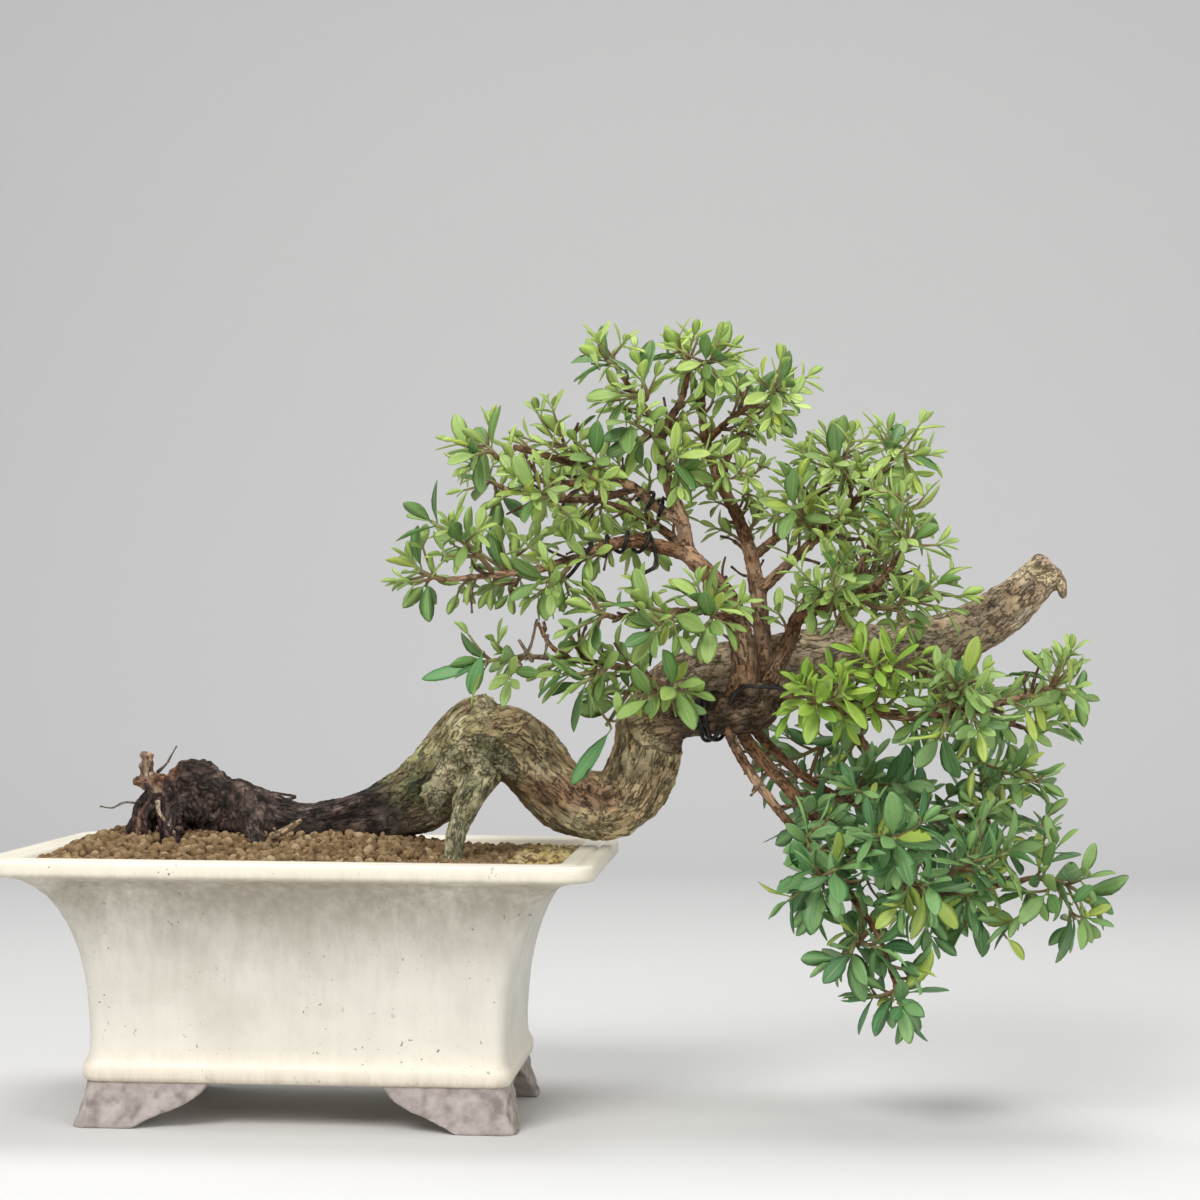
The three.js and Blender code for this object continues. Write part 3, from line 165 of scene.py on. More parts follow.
# Boughs: the radius at the foot and at the end, then points on the centre line
BOUGHS = {
    "leader": [
        (6, 3.6), (168, -3, 162), (173, -4, 178), (171, -2, 194), (167, 0, 206), (159, 2, 217),
        (149, 4, 227),
    ],
    "left": [
        (3.2, 1.2), (150, 4, 226), (138, 0, 229.5), (127, -5, 231), (117, -8, 229), (109, -10, 225),
        (99, -12, 222), (89, -14, 219), (73, -14, 217), (53, -12, 215),
    ],
    "crown": [
        (3.3, 1.3), (149.5, 4, 226), (147, 8, 240), (142, 10, 253), (138, 12, 265), (139, 12, 277),
        (146, 10, 289), (149, 8, 300),
    ],
    "crown_left": [
        (2.4, 1.4), (146, 8, 240), (136, 6, 246), (128, 3, 253), (118, 0, 257), (108, -4, 261),
        (94, -8, 265), (80, -12, 268.5),
    ],
    "upper_left": [(1.8, 1.1), (118, 0, 257), (105, -10, 254), (89, -18, 255.5), (75, -24, 263)],
    "upper_left_rear": [(1.8, 1.1), (128, 4, 253), (113, 20, 250), (91, 32, 250), (71, 38, 255)],
    "crown_tip_left": [(1.7, 1.1), (139, 12, 277), (130, 4, 288), (122, -4, 299)],
    "second_leader": [
        (4.4, 1.3), (178, -1, 166), (180, 5, 178), (180, 12, 192), (177.5, 18, 212), (174.5, 22, 228),
        (169, 24, 243), (161, 22, 259), (156, 20, 274), (154.5, 16, 290), (156, 12, 303),
    ],
    "crown_tip_right": [(1.7, 1.1), (156, 20, 273), (168, 10, 283), (182, 2, 291)],
    "rear_crown": [(2, 1.2), (161, 23, 258), (167, 36, 273), (175, 46, 288)],
    "rear_left": [(2.4, 1.2), (152, 5, 224), (141, 26, 235), (126, 42, 245), (109, 54, 251)],
    "upper_right": [
        (2.6, 1.2), (177.5, 18, 211), (191, 14, 223.5), (205, 10, 236.5), (218, 6, 249.5), (228.5, 2, 262),
    ],
    "rear_right": [(2.3, 1.2), (174.5, 22, 225), (187, 36, 236), (200, 48, 249), (211, 54, 264)],
    "rear_upright": [(3.2, 1.3), (211, 38, 184), (214, 50, 203), (221, 54, 224), (231, 54, 243)],
    "right": [
        (4, 1.3), (181, -3, 168), (185, 0, 179), (191, -2, 192), (195, -4, 202), (206, -8, 205),
        (219, -10, 209.5), (227.5, -12, 216), (233, -14, 224),
    ],
    "low_right": [
        (3.6, 1.1), (182, -4, 168), (188, -5, 169.5), (198, -8, 171), (213, -12, 167), (235, -16, 162),
        (258, -20, 164), (277, -22, 168.5), (290, -24, 173),
    ],
    "cascade_front": [
        (2.4, 1.1), (166, -4, 160), (168, -6, 152), (176, -10, 138), (189, -14, 121.5), (201, -16, 108.5),
        (213, -18, 94), (226, -20, 76), (233, -22, 57),
    ],
    "cascade_mid": [
        (3.2, 1.2), (172, -2, 160), (174, 0, 151), (187, 0, 136), (200, -2, 122), (213.5, -4, 108.5),
        (231, -8, 98), (255, -10, 92), (282, -12, 97),
    ],
    "cascade_back": [
        (2.6, 1.1), (176, 1, 161), (179, 8, 153), (195, 14, 138), (214, 22, 126.5), (239, 28, 120),
        (267, 32, 120),
    ],
    "rear_low": [(3, 1.1), (238, 38, 189), (245, 48, 180), (256, 53, 170), (273, 58, 161), (292, 58, 155)],
    "rear_cascade": [
        (3.2, 1.2), (203, 40, 185), (209, 50, 174), (215, 54, 162), (227, 58, 138), (240, 58, 114),
        (252, 52, 92),
    ],
    "front_left": [
        (2.6, 1.1), (150, 8, 162), (144, 0, 169.5), (137, -8, 174.5), (125, -20, 180), (111, -30, 182.5),
        (97, -36, 184),
    ],
    "front_twig": [
        (2, 1), (171, -2, 196), (163, -8, 201), (155, -14, 203), (139, -24, 202.5), (122.5, -32, 200),
    ],
    "bare_twig_left": [(1.2, 0.9), (111, -30, 182.5), (106, -27, 190), (101, -25, 198)],
    "bare_twig_up": [(1.2, 0.9), (104, -33, 183), (96, -30, 190), (92, -31, 198)],
    "bare_twig_crown": [(1.2, 0.9), (108, -4, 261), (105, -6, 268), (103, -6, 276)],
    "bare_twig_right": [(1.3, 0.9), (206, -8, 205), (216, -6, 213), (224, -2, 218)],
}

# Leafy shoots of each bough: how far along it each grows, then the tips that its stems reach.
# The first tip ends the main stem, and the others end side stems that leave it lower down.
SPRAYS = {
    "left": [
        (1, (26, -12, 226), (38, -2, 207)), (0.88, (36, -26, 248), (56, -40, 238)),
        (0.8, (64, 14, 221), (47, 24, 238), (80, 20, 238)), (0.58, (86, -44, 207), (98, -24, 205)),
    ],
    "upper_left": [(1, (64, -28, 276), (58, -44, 262)), (0.55, (84, -48, 244), (74, -42, 250))],
    "crown_left": [(0.58, (112, -32, 268), (106, -36, 246)), (0.76, (96, 4, 284), (82, 10, 277))],
    "upper_left_rear": [(1, (52, 44, 265), (70, 56, 244))],
    "rear_left": [(1, (88, 70, 264), (86, 66, 240)), (0.55, (118, 70, 236), (112, 40, 228))],
    "crown_tip_left": [(1, (106, -8, 312), (118, -10, 316)), (0.55, (132, -27, 303), (114, -27, 289))],
    "crown": [
        (1, (140, 8, 321), (150, 16, 313)), (0.6, (121, -36, 281), (124, -20, 266)),
        (0.42, (150, -26, 268), (160, -14, 256)),
    ],
    "second_leader": [(1, (165, 2, 308), (154, -12, 302))],
    "crown_tip_right": [(1, (193, -6, 297), (182, -22, 286))],
    "rear_crown": [(1, (178, 62, 306), (190, 44, 294), (154, 54, 306))],
    "upper_right": [
        (1, (236, -2, 280), (248, -12, 266)), (0.72, (216, 18, 274), (202, -10, 274)),
        (0.45, (186, -30, 250), (202, -26, 236), (190, -10, 268)),
    ],
    "rear_right": [(1, (208, 70, 284), (190, 62, 280), (222, 50, 282))],
    "rear_upright": [(1, (242, 66, 264), (258, 56, 244)), (0.62, (238, 76, 232), (206, 74, 230))],
    "right": [
        (1, (250, -22, 242), (228, -34, 250)), (0.72, (263, -30, 217), (250, -18, 200)),
        (0.58, (210, -44, 228), (196, -36, 216)),
    ],
    "front_left": [
        (1, (56, -46, 181), (74, -44, 172)), (0.72, (102, -56, 168), (90, -54, 176)),
        (0.5, (112, -36, 146)), (0.4, (152, -46, 172), (132, -52, 164)),
    ],
    "front_twig": [
        (1, (102, -38, 206), (108, -48, 192)), (0.66, (134, -58, 188), (124, -52, 208)),
        (0.4, (160, -50, 196), (150, -40, 214)),
    ],
    "low_right": [
        (1, (305, -28, 172), (291, -20, 187)), (0.68, (266, -46, 186), (274, -38, 150), (246, -50, 142)),
        (0.5, (236, -40, 194), (212, -40, 198)), (0.32, (202, -50, 162), (220, -56, 172)),
    ],
    "rear_low": [(1, (304, 64, 163), (303, 46, 176)), (0.6, (278, 72, 150), (262, 78, 170))],
    "cascade_mid": [
        (1, (323, -16, 88), (312, -22, 70), (292, -34, 84)), (0.84, (288, -34, 116), (280, -42, 98)),
        (0.62, (238, -50, 119), (254, -46, 84)),
    ],
    "cascade_front": [
        (1, (229, -24, 43), (246, -12, 52), (214, -16, 46)),
        (0.84, (206, -38, 60), (224, 10, 68), (240, -34, 66)),
        (0.62, (196, -36, 91), (214, -56, 106), (196, -2, 96)),
    ],
    "cascade_back": [
        (1, (294, 42, 128), (280, 12, 138), (276, 30, 98)), (0.6, (232, 48, 138), (248, 0, 136)),
    ],
    "rear_cascade": [
        (1, (263, 50, 67), (280, 24, 76)), (0.72, (256, 78, 100), (240, 80, 126)),
        (0.45, (172, 68, 131), (196, 60, 100)),
    ],
}

# Shoots in bright young leaf: bough, and how far along it
YOUNG = (("low_right", 0.5), ("low_right", 0.32))

UP = np.array([0.0, 0, 1])
# Keeps a cross product of two near-parallel directions from vanishing
NUDGE = np.array([0.02, 0.01, 0.015])


def vec(p):
    return np.array(p, float)


def unit(v):
    return v / np.linalg.norm(v)


def lerp(a, b, t):
    return a + (b - a) * t


def shade(a, b, t):
    """A colour between two colours."""
    return lerp(vec(a), vec(b), t)


def sideways(angle, side, other):
    """The direction at an angle between two crossed directions."""
    return side * math.cos(angle) + other * math.sin(angle)


def circle(angles, side, other):
    """The directions at many angles between two crossed directions."""
    return np.cos(angles)[:, None] * side + np.sin(angles)[:, None] * other


def even_angles(count):
    return 2 * math.pi * np.arange(count) / count


def length_of(line):
    return np.linalg.norm(np.diff(np.asarray(line, float), axis=0), axis=1).sum()


def smoothstep(x, low, high):
    t = np.clip((x - low) / (high - low), 0, 1)
    return t * t * (3 - 2 * t)


def draw(n, k):
    """A repeatable draw from 0 to 1: choice k of item n."""
    v = math.sin(n * 127.1 + k * 311.7 + 17.3) * 43758.5453
    return v - math.floor(v)


def lattice(cell, seed):
    v = np.sin(cell @ np.array([127.1, 311.7, 74.7]) + seed * 19.19) * 43758.5453
    return v - np.floor(v)


def noise(points, seed=0):
    """Smooth noise from -1 to 1 at each point, with a period of one unit."""
    points = np.asarray(points, float)
    cell = np.floor(points)
    f = points - cell
    f = f * f * (3 - 2 * f)
    total = 0
    for i in (0, 1):
        for j in (0, 1):
            for k in (0, 1):
                w = np.abs(1 - i - f[:, 0]) * np.abs(1 - j - f[:, 1]) * np.abs(1 - k - f[:, 2])
                total = total + w * lattice(cell + [i, j, k], seed)
    return 2 * total - 1


def layered(points, octaves, seed=0):
    return sum(noise(points * 2**i, seed + i) / 2**i for i in range(octaves)) / (2 - 2 ** (1 - octaves))


def linked(name, data):
    """A new object of some data, in the scene."""
    obj = bpy.data.objects.new(name, data)
    bpy.context.scene.collection.objects.link(obj)
    return obj


def smooth(mesh):
    mesh.polygons.foreach_set("use_smooth", [True] * len(mesh.polygons))


def mesh_object(name, points, polygons):
    """A new object from points in millimetres round the pot."""
    mesh = bpy.data.meshes.new(name)
    faces = [list(map(int, polygon)) for polygon in polygons]
    mesh.from_pydata(((np.asarray(points) + ORIGIN) * MM).tolist(), [], faces)
    smooth(mesh)
    mesh.validate()
    return linked(name, mesh)


def dress(obj, material):
    """Gives an object one material."""
    obj.data.materials.clear()
    obj.data.materials.append(material)


def points_of(mesh):
    co = np.empty(len(mesh.vertices) * 3)
    mesh.vertices.foreach_get("co", co)
    return co.reshape(-1, 3) / MM - ORIGIN


def set_points(mesh, points):
    mesh.vertices.foreach_set("co", ((points + ORIGIN) * MM).ravel())
    mesh.update()


def normals_of(mesh):
    normals = np.empty(len(mesh.vertices) * 3)
    mesh.vertices.foreach_get("normal", normals)
    return normals.reshape(-1, 3)


def paint(mesh, name, colours):
    """Stores a colour for each vertex."""
    rgba = np.ones((len(mesh.vertices), 4))
    rgba[:, :3] = np.clip(colours, 0, 1)
    mesh.attributes.new(name, "FLOAT_COLOR", "POINT").data.foreach_set("color", rgba.ravel())


def store(mesh, name, vectors):
    """Stores a vector for each vertex."""
    attribute = mesh.attributes.new(name, "FLOAT_VECTOR", "POINT")
    attribute.data.foreach_set("vector", np.asarray(vectors).ravel())


def baked(obj, name):
    """The object with its modifiers applied, as a new object under a name."""
    graph = bpy.context.evaluated_depsgraph_get()
    mesh = bpy.data.meshes.new_from_object(obj.evaluated_get(graph))
    bpy.data.objects.remove(obj)
    mesh.name = name
    return linked(name, mesh)


def remeshed(obj, name, voxel):
    modifier = obj.modifiers.new("remesh", "REMESH")
    modifier.mode = "VOXEL"
    modifier.voxel_size = voxel * MM
    modifier.use_smooth_shade = True
    return baked(obj, name)


def relaxed(points, mesh, rounds):
    """The points moved towards the middle of their neighbours."""
    edges = np.empty(len(mesh.edges) * 2, int)
    mesh.edges.foreach_get("vertices", edges)
    a, b = edges.reshape(-1, 2).T
    count = np.bincount(np.concatenate([a, b]), minlength=len(points))[:, None].clip(1)
    for _ in range(rounds):
        total = np.zeros_like(points)
        np.add.at(total, a, points[b])
        np.add.at(total, b, points[a])
        points = lerp(points, total / count, 0.5)
    return points


def loft_faces(rings, count, first=0):
    """Quads between rings of points, with a cap at each end."""
    faces = []
    for i in range(rings - 1):
        for j in range(count):
            a, b = first + i * count + j, first + i * count + (j + 1) % count
            faces.append((a, b, b + count, a + count))
    faces.append([first + j for j in reversed(range(count))])
    faces.append([first + (rings - 1) * count + j for j in range(count)])
    return faces


# The same limbs, stems and leaves as the solid model

def curve_points(line, t):
    """Points of a Catmull-Rom curve at places from 0 to 1."""
    p = np.asarray(line, float)
    p = np.vstack([2 * p[0] - p[1], p, 2 * p[-1] - p[-2]])
    at = np.atleast_1d(np.asarray(t, float)) * (len(p) - 3)
    i = np.clip(np.floor(at).astype(int), 0, len(p) - 4)
    w = (at - i)[:, None]
    x0, x1, x2, x3 = p[i], p[i + 1], p[i + 2], p[i + 3]
    t0, t1 = 0.5 * (x2 - x0), 0.5 * (x3 - x1)
    return x1 + t0 * w + (-3 * x1 + 3 * x2 - 2 * t0 - t1) * w**2 + (2 * x1 - 2 * x2 + t0 + t1) * w**3


def curve_tangents(line, t):
    t = np.atleast_1d(np.asarray(t, float))
    step = curve_points(line, np.minimum(t + 1e-4, 1)) - curve_points(line, np.maximum(t - 1e-4, 0))
    return step / np.linalg.norm(step, axis=1)[:, None]


def radius_at(radii, t):
    s = np.asarray(t) * (len(radii) - 1)
    return np.interp(s, range(len(radii)), radii)


def stations(line, radii, steps):
    """Places, points, radii, tangents and two sideways directions at even steps along a limb."""
    t = np.arange(steps + 1) / steps
    tangents = curve_tangents(line, t)
    sides = []
    side = vec((0.3, 1, 0.2))
    for tangent in tangents:
        side = unit(side - tangent * (side @ tangent))
        sides.append(side)
    sides = np.array(sides)
    return t, curve_points(line, t), radius_at(radii, t), tangents, sides, np.cross(tangents, sides)


def even_radii(girth, count):
    return [lerp(*girth, i / (count - 1)) for i in range(count)]


# The centre line and radii of every limb
LIMBS = {}
for name, rows in {**TRUNK, **ROOTS}.items():
    LIMBS[name] = ([row[:3] for row in rows], [row[3] for row in rows])
for name, (girth, *line) in BOUGHS.items():
    LIMBS[name] = (line, even_radii(girth, len(line)))

COIL_STATIONS = 60
# The parts of the wires that don't wind round a bough
WIRE_ENDS = {
    "left_free": [(88, -20, 207), (95, -17, 212), (103, -14, 217)],
    "left_hanging": [
        (137, -3, 222), (131, -6, 217), (131, -8, 210), (133, -10, 200), (136, -12, 190), (135, -14, 181),
    ],
    "arm_start": [(147, -3, 164), (153, -4.5, 166)],
    "arm_end": [(170, -15, 171), (180, -17, 173), (192, -17, 172)],
}


def coil(limb, begin, end, turns, start):
    """A wire's turns round a limb, from one place along it to another."""
    line, radii = LIMBS[limb]
    steps = turns * COIL_STEPS
    *_, sides, others = stations(line, radii, COIL_STATIONS)
    points = []
    for i in range(steps + 1):
        t = lerp(begin, end, i / steps)
        k = int(math.floor(t * COIL_STATIONS + 0.5))
        angle = start + 2 * math.pi * turns * i / steps
        r = (float(radius_at(radii, t)) + WIRE_RADIUS + GAP / 2) / math.cos(math.pi / COIL_STEPS)
        points.append(curve_points(line, t)[0] + r * sideways(angle, sides[k], others[k]))
    return points


def wire_lines():
    """The path of each training wire."""
    ends = {key: [vec(p) for p in line] for key, line in WIRE_ENDS.items()}
    return {
        "arm_wire": ends["arm_start"] + coil("arm", 0.4, 0.48, 2, 3.9) + ends["arm_end"],
        "left_wire": ends["left_free"] + coil("left", 0.46, 0.18, 3, 4.4) + ends["left_hanging"],
        "crown_left_wire": coil("crown_left", 0.12, 0.28, 2, 2.6),
    }


MOST_OBSTACLES = 20000
MOST_LEAVES = 6000


class Obstacles:
    """Straight pieces of limbs, shoots and wires that a blade or a shoot keeps clear of."""

    def __init__(self):
        self.count = 0
        self.owners = np.zeros(MOST_OBSTACLES, int)
        self.starts, self.edges, self.middles = (np.zeros((MOST_OBSTACLES, 3)) for _ in range(3))
        self.radii, self.sizes, self.halves = (np.zeros(MOST_OBSTACLES) for _ in range(3))

    def add(self, owner, points, radii):
        points, radii = np.asarray(points, float), np.asarray(radii, float)
        n, first = len(points) - 1, self.count
        rows = slice(first, first + n)
        self.owners[rows] = owner_number(owner)
        self.starts[rows] = points[:-1]
        self.edges[rows] = points[1:] - points[:-1]
        self.middles[rows] = (points[1:] + points[:-1]) / 2
        self.radii[rows] = np.maximum(radii[:-1], radii[1:])
        self.sizes[rows] = (self.edges[rows] ** 2).sum(1)
        self.halves[rows] = np.sqrt(self.sizes[rows]) / 2 + self.radii[rows]
        self.count += n

    def clear(self, points, margin, owner):
        """True if the points keep a margin from every piece of another owner."""
        centre = points.mean(0)
        around = np.sqrt(((points - centre) ** 2).sum(1).max()) + margin
        n = self.count
        away = np.sqrt(((self.middles[:n] - centre) ** 2).sum(1))
        near = np.flatnonzero((away < self.halves[:n] + around) & (self.owners[:n] != owner_number(owner)))
        if not len(near):
            return True
        edges = self.edges[near]
        d = points[:, None, :] - self.starts[near][None]
        t = np.clip((d * edges).sum(2) / self.sizes[near], 0, 1)
        gap = np.sqrt(((d - t[..., None] * edges) ** 2).sum(2)) - self.radii[near]
        return bool((gap > margin).all())


owner_numbers = {}


def owner_number(owner):
    return owner_numbers.setdefault(owner, len(owner_numbers))


obstacles = Obstacles()
# How far the added leaves may reach: across, to the right and up
CAD_HALF_WIDTH = CAD_BOX[1].y / MM - 3
CAD_END = CAD_BOX[1].x / MM - ORIGIN[0] - 1
CAD_TOP = CAD_BOX[1].z / MM - 1


class Stem:
    """A curved shoot from its foot past a middle point to its tip."""

    def __init__(self, foot, middle, tip, girth, reach, seed, owner):
        self.foot, self.middle, self.tip = foot, middle, tip
        self.girth, self.reach, self.seed, self.owner = girth, reach, seed, owner
        self.seat, self.forks = None, False
        self.frames = {}

    def at(self, t):
        return self.foot * (1 - t) ** 2 + self.middle * 2 * t * (1 - t) + self.tip * t * t

    def tangent(self, t):
        return unit(self.at(min(t + 0.01, 1)) - self.at(max(t - 0.01, 0)))

    def radius(self, t):
        return lerp(self.girth[0], self.girth[1], t)

    def frame(self, t):
        """The tangent and two crossed sideways directions at a place, kept for the next call."""
        if (t, self.seat is None) not in self.frames:
            self.frames[t, self.seat is None] = self.made_frame(t)
        return self.frames[t, self.seat is None]

    def made_frame(self, t):
        tip = self.tangent(1)
        flat = np.cross(tip, UP) + NUDGE
        flat = unit(flat - tip * (flat @ tip))
        s = 1 - FRAME_STEP
        while s > t:
            tangent = self.tangent(s)
            flat = unit(flat - tangent * (flat @ tangent))
            s -= FRAME_STEP
        tangent = self.seat if t == 0 and self.seat is not None else self.tangent(t)
        flat = unit(flat - tangent * (flat @ tangent))
        return tangent, flat, np.cross(flat, tangent)


def make_stem(foot, leave, leaf_tip, girth, owner, seed):
    """A stem that bends aside until it is clear of what else grows there."""
    whole = np.linalg.norm(leaf_tip - foot)
    tip = lerp(foot, leaf_tip, max(1 - TIP_REACH / whole, 0.4))
    reach = float(np.linalg.norm(tip - foot))
    straight = unit(tip - foot)
    side_a = unit(np.cross(straight, leave) + NUDGE)
    side_b = unit(np.cross(straight, side_a))
    stem = None
    for k in range(9):
        angle = 2 * math.pi * (draw(seed, 5) + k * 3) / 8
        bow = 0 if k == 0 else 0.12 * reach * math.ceil(k / 4)
        aside = side_a * (bow * math.cos(angle)) + side_b * (bow * math.sin(angle))
        stem = Stem(foot, foot + leave * 0.42 * reach + aside, tip, girth, reach, seed, owner)
        samples = np.array([stem.at(i / 16) for i in range(2, 17)])
        if obstacles.clear(samples, girth[0] + GAP + 0.2, owner):
            break
    return stem


def bough_section(name, at, target):
    """Centre, tangent, outward direction and reach of the bough's flat side that faces a target."""
    steps = len(LIMBS[name][0]) - 1
    _, points, radii, tangents, sides, others = stations(*LIMBS[name], steps)
    i = min(int(at * steps), steps - 1)
    share = at * steps - i
    centre, tangent, side, other = (lerp(v[i], v[i + 1], share) for v in (points, tangents, sides, others))
    towards = vec(target) - centre
    sector = 2 * math.pi / (5 if BOUGHS[name][0][0] > 3 else 4)
    angle = math.atan2(towards @ other, towards @ side)
    seat = unit(sideways((math.floor(angle / sector) + 0.5) * sector, side, other))
    reach = lerp(radii[i], radii[i + 1], share) * math.cos(sector / 2)
    return centre, unit(tangent), seat, reach


def spray_stems(bough, at, tips, index):
    """The main stem of a leafy shoot and the side stems that fork from it."""
    centre, tangent, seat, reach = bough_section(bough, at, tips[0])
    if at == 1:
        foot, leave, seat = centre + tangent * GAP, tangent, tangent
    else:
        foot = centre + seat * (reach + GAP + SEAT_PLAY)
        leave = unit(seat + tangent * 0.25)
    main = make_stem(foot, leave, vec(tips[0]), SHOOT_GIRTH, index, 10 * index)
    main.seat, main.forks = seat, len(tips) > 1
    stems = [main]
    start = main.at(FORK_AT)
    for k, tip in enumerate(tips[1:]):
        out = unit(unit(vec(tip) - start) + main.tangent(FORK_AT))
        stems.append(make_stem(start, out, vec(tip), SIDE_GIRTH, index, 10 * index + k + 1))
    return stems


# Places on a blade that are tested: share of its length, and share of its half width
SAMPLES = np.array([(s, v) for s in (0.16, 0.3, 0.44, 0.58, 0.72, 0.86, 1) for v in (-0.8, 0, 0.8)])
# How far apart the middles of blades lie: those of the solid model, and the thinner real ones added here
SOLID_SKIN = 1.9
THIN_SKIN = 0.8


def inside_blade(s, v, h, skin):
    return (s > -0.08) & (s < 1.08) & (abs(v) < 1.25) & (abs(h) < skin)


class Leaf:
    """A blade that leaves its stem sideways and arches down."""

    def __init__(self, stem, t, roll, spread, length, width=None):
        tangent, flat, rise = stem.frame(t)
        side = sideways(roll, flat, rise)
        self.foot = stem.at(t) + side * (stem.radius(t) * 0.5)
        self.along = sideways(spread, tangent, side)
        face = tangent + UP * 0.5
        self.normal = unit(face - self.along * (face @ self.along))
        self.across = unit(np.cross(self.normal, self.along))
        self.length, self.width = length, (width or BLADE_WIDTH) * length
        self.owner, self.stem = stem.owner, stem.seed
        s, v = SAMPLES[:, :1], np.where(SAMPLES[:, :1] > 0.95, 0, SAMPLES[:, 1:])
        self.samples = self.point(s, v)
        self.middle = self.point(np.array([[0.5]]), np.array([[0.0]]))[0]

    def point(self, s, v):
        drop = BLADE_ARCH * self.length * s * s
        level = self.foot + self.along * (self.length * s) + self.across * (self.width / 2 * v)
        return level - self.normal * drop

    def near(self, points, skin):
        """True if any of the points lies within a thin skin round the leaf."""
        d = points - self.foot
        s = d @ self.along / self.length
        v = 2 * (d @ self.across) / self.width
        h = d @ self.normal + BLADE_ARCH * self.length * s * s
        return bool(inside_blade(s, v, h, skin).any())


class Blades:
    """The leaves placed so far, with their numbers in arrays."""

    def __init__(self):
        self.count = 0
        self.vectors = np.zeros((MOST_LEAVES, 5, 3))
        self.sizes = np.zeros((MOST_LEAVES, 2))
        self.stems = np.zeros(MOST_LEAVES, int)
        self.samples = np.zeros((MOST_LEAVES, len(SAMPLES), 3))

    def add(self, leaf):
        n = self.count
        self.vectors[n] = leaf.foot, leaf.along, leaf.across, leaf.normal, leaf.middle
        self.sizes[n] = leaf.length, leaf.width
        self.stems[n] = leaf.stem
        self.samples[n] = leaf.samples
        self.count += 1

    def free(self, leaf, skin):
        """True if a new leaf keeps clear of the leaves of other stems."""
        n = self.count
        apart = np.sqrt(((self.vectors[:n, 4] - leaf.middle) ** 2).sum(1))
        close = (apart <= (self.sizes[:n, 0] + leaf.length) / 2 + 4) & (self.stems[:n] != leaf.stem)
        near = np.flatnonzero(close)
        if not len(near):
            return True
        if leaf.near(self.samples[near].reshape(-1, 3), skin):
            return False
        foot, along, across, normal = (self.vectors[near, k] for k in range(4))
        length, width = self.sizes[near, 0:1], self.sizes[near, 1:2]
        d = leaf.samples[None] - foot[:, None]
        s = np.einsum("kij,kj->ki", d, along) / length
        v = 2 * np.einsum("kij,kj->ki", d, across) / width
        h = np.einsum("kij,kj->ki", d, normal) + BLADE_ARCH * length * s * s
        return not inside_blade(s, v, h, skin).any()


blades = Blades()


def in_reach(leaf):
    """True if a leaf stays within the sides and the end of the solid model."""
    return abs(leaf.samples[:, 1]).max() < CAD_HALF_WIDTH and leaf.samples[:, 0].max() < CAD_END


def place_leaf(stem, t, roll, spread, length, seed, skin=SOLID_SKIN, width=None):
    """Tries a leaf in a few positions of its stalk, and leaves it out where none is clear."""
    of_solid = skin == SOLID_SKIN
    margin = BLADE_THICKNESS / 2 + GAP + 0.35 if of_solid else 0.5
    for k in range(9):
        turn = 0 if k == 0 else (draw(seed, 20 + k) - 0.5) * 1.3
        opened = 0 if k == 0 else (draw(seed, 30 + k) - 0.5) * 0.9
        leaf = Leaf(stem, t, roll + turn, spread + opened, length * (0.8 if k > 4 else 1), width)
        fits = (of_solid or in_reach(leaf)) and leaf.samples[:, 2].max() < CAD_TOP
        if fits and obstacles.clear(leaf.samples, margin, leaf.owner) and blades.free(leaf, skin):
            blades.add(leaf)
            return leaf
    return None


def place_pair(stem, t, twist, crossed, spread, length, seed, **options):
    """Two leaves on opposite sides of a stem, at right angles to the last pair where crossed is 1."""
    placed = []
    for half in (0, 1):
        side = crossed + 2 * half
        size = length * (0.9 + 0.2 * draw(seed, 3 + half))
        leaf = place_leaf(stem, t, twist + side * math.pi / 2, spread, size, seed * 2 + half, **options)
        if leaf:
            placed.append(leaf)
    return placed


def place_pairs(stem, young, steps):
    """The leaves of a stem of the solid model: two pairs at its tip and more below them."""
    height = float(smoothstep(stem.at(1)[2], 130, 220))
    size = 16 if young else lerp(LEAF_LENGTH[0], LEAF_LENGTH[1], height)
    half = NODE_LENGTH / 2 / stem.reach
    seed = stem.seed * 7
    twist = 0.9 * (draw(seed, 1) - 0.5)
    placed = place_pair(stem, 1 - half, twist, 0, 0.45, size * 0.82, seed)
    placed += place_pair(stem, 1 - 3 * half, twist, 1, 0.85, size, seed + 1)
    for i in range(1, steps + 1):
        t = 1 - (NODE_LENGTH + i * LEAF_SPACING) / stem.reach
        if t - half < (FORK_AT + 0.05 if stem.forks else 0.2):
            break
        turn = twist + 0.7 * (draw(seed + i, 2) - 0.5)
        placed += place_pair(stem, t, turn, (i + 1) % 2, 0.95, size, seed + i + 1)
    return placed


for names, steps in ((TRUNK, 24), (ROOTS, 6), (BOUGHS, 24)):
    for name in names:
        _, points, radii, *_ = stations(*LIMBS[name], steps)
        obstacles.add(name, points, radii * 1.08)
for name, points in wire_lines().items():
    obstacles.add(name, points, [WIRE_RADIUS] * len(points))


class Spray:
    """A leafy shoot that stands for one node of the solid model."""

    def __init__(self, bough, number, index, at, tips):
        self.bough, self.index = bough, index
        self.node = f"spray_{bough}_{number}"
        self.young = (bough, at) in YOUNG
        self.forks = len(tips)
        self.stems = spray_stems(bough, at, tips, index)
        self.leaves = []


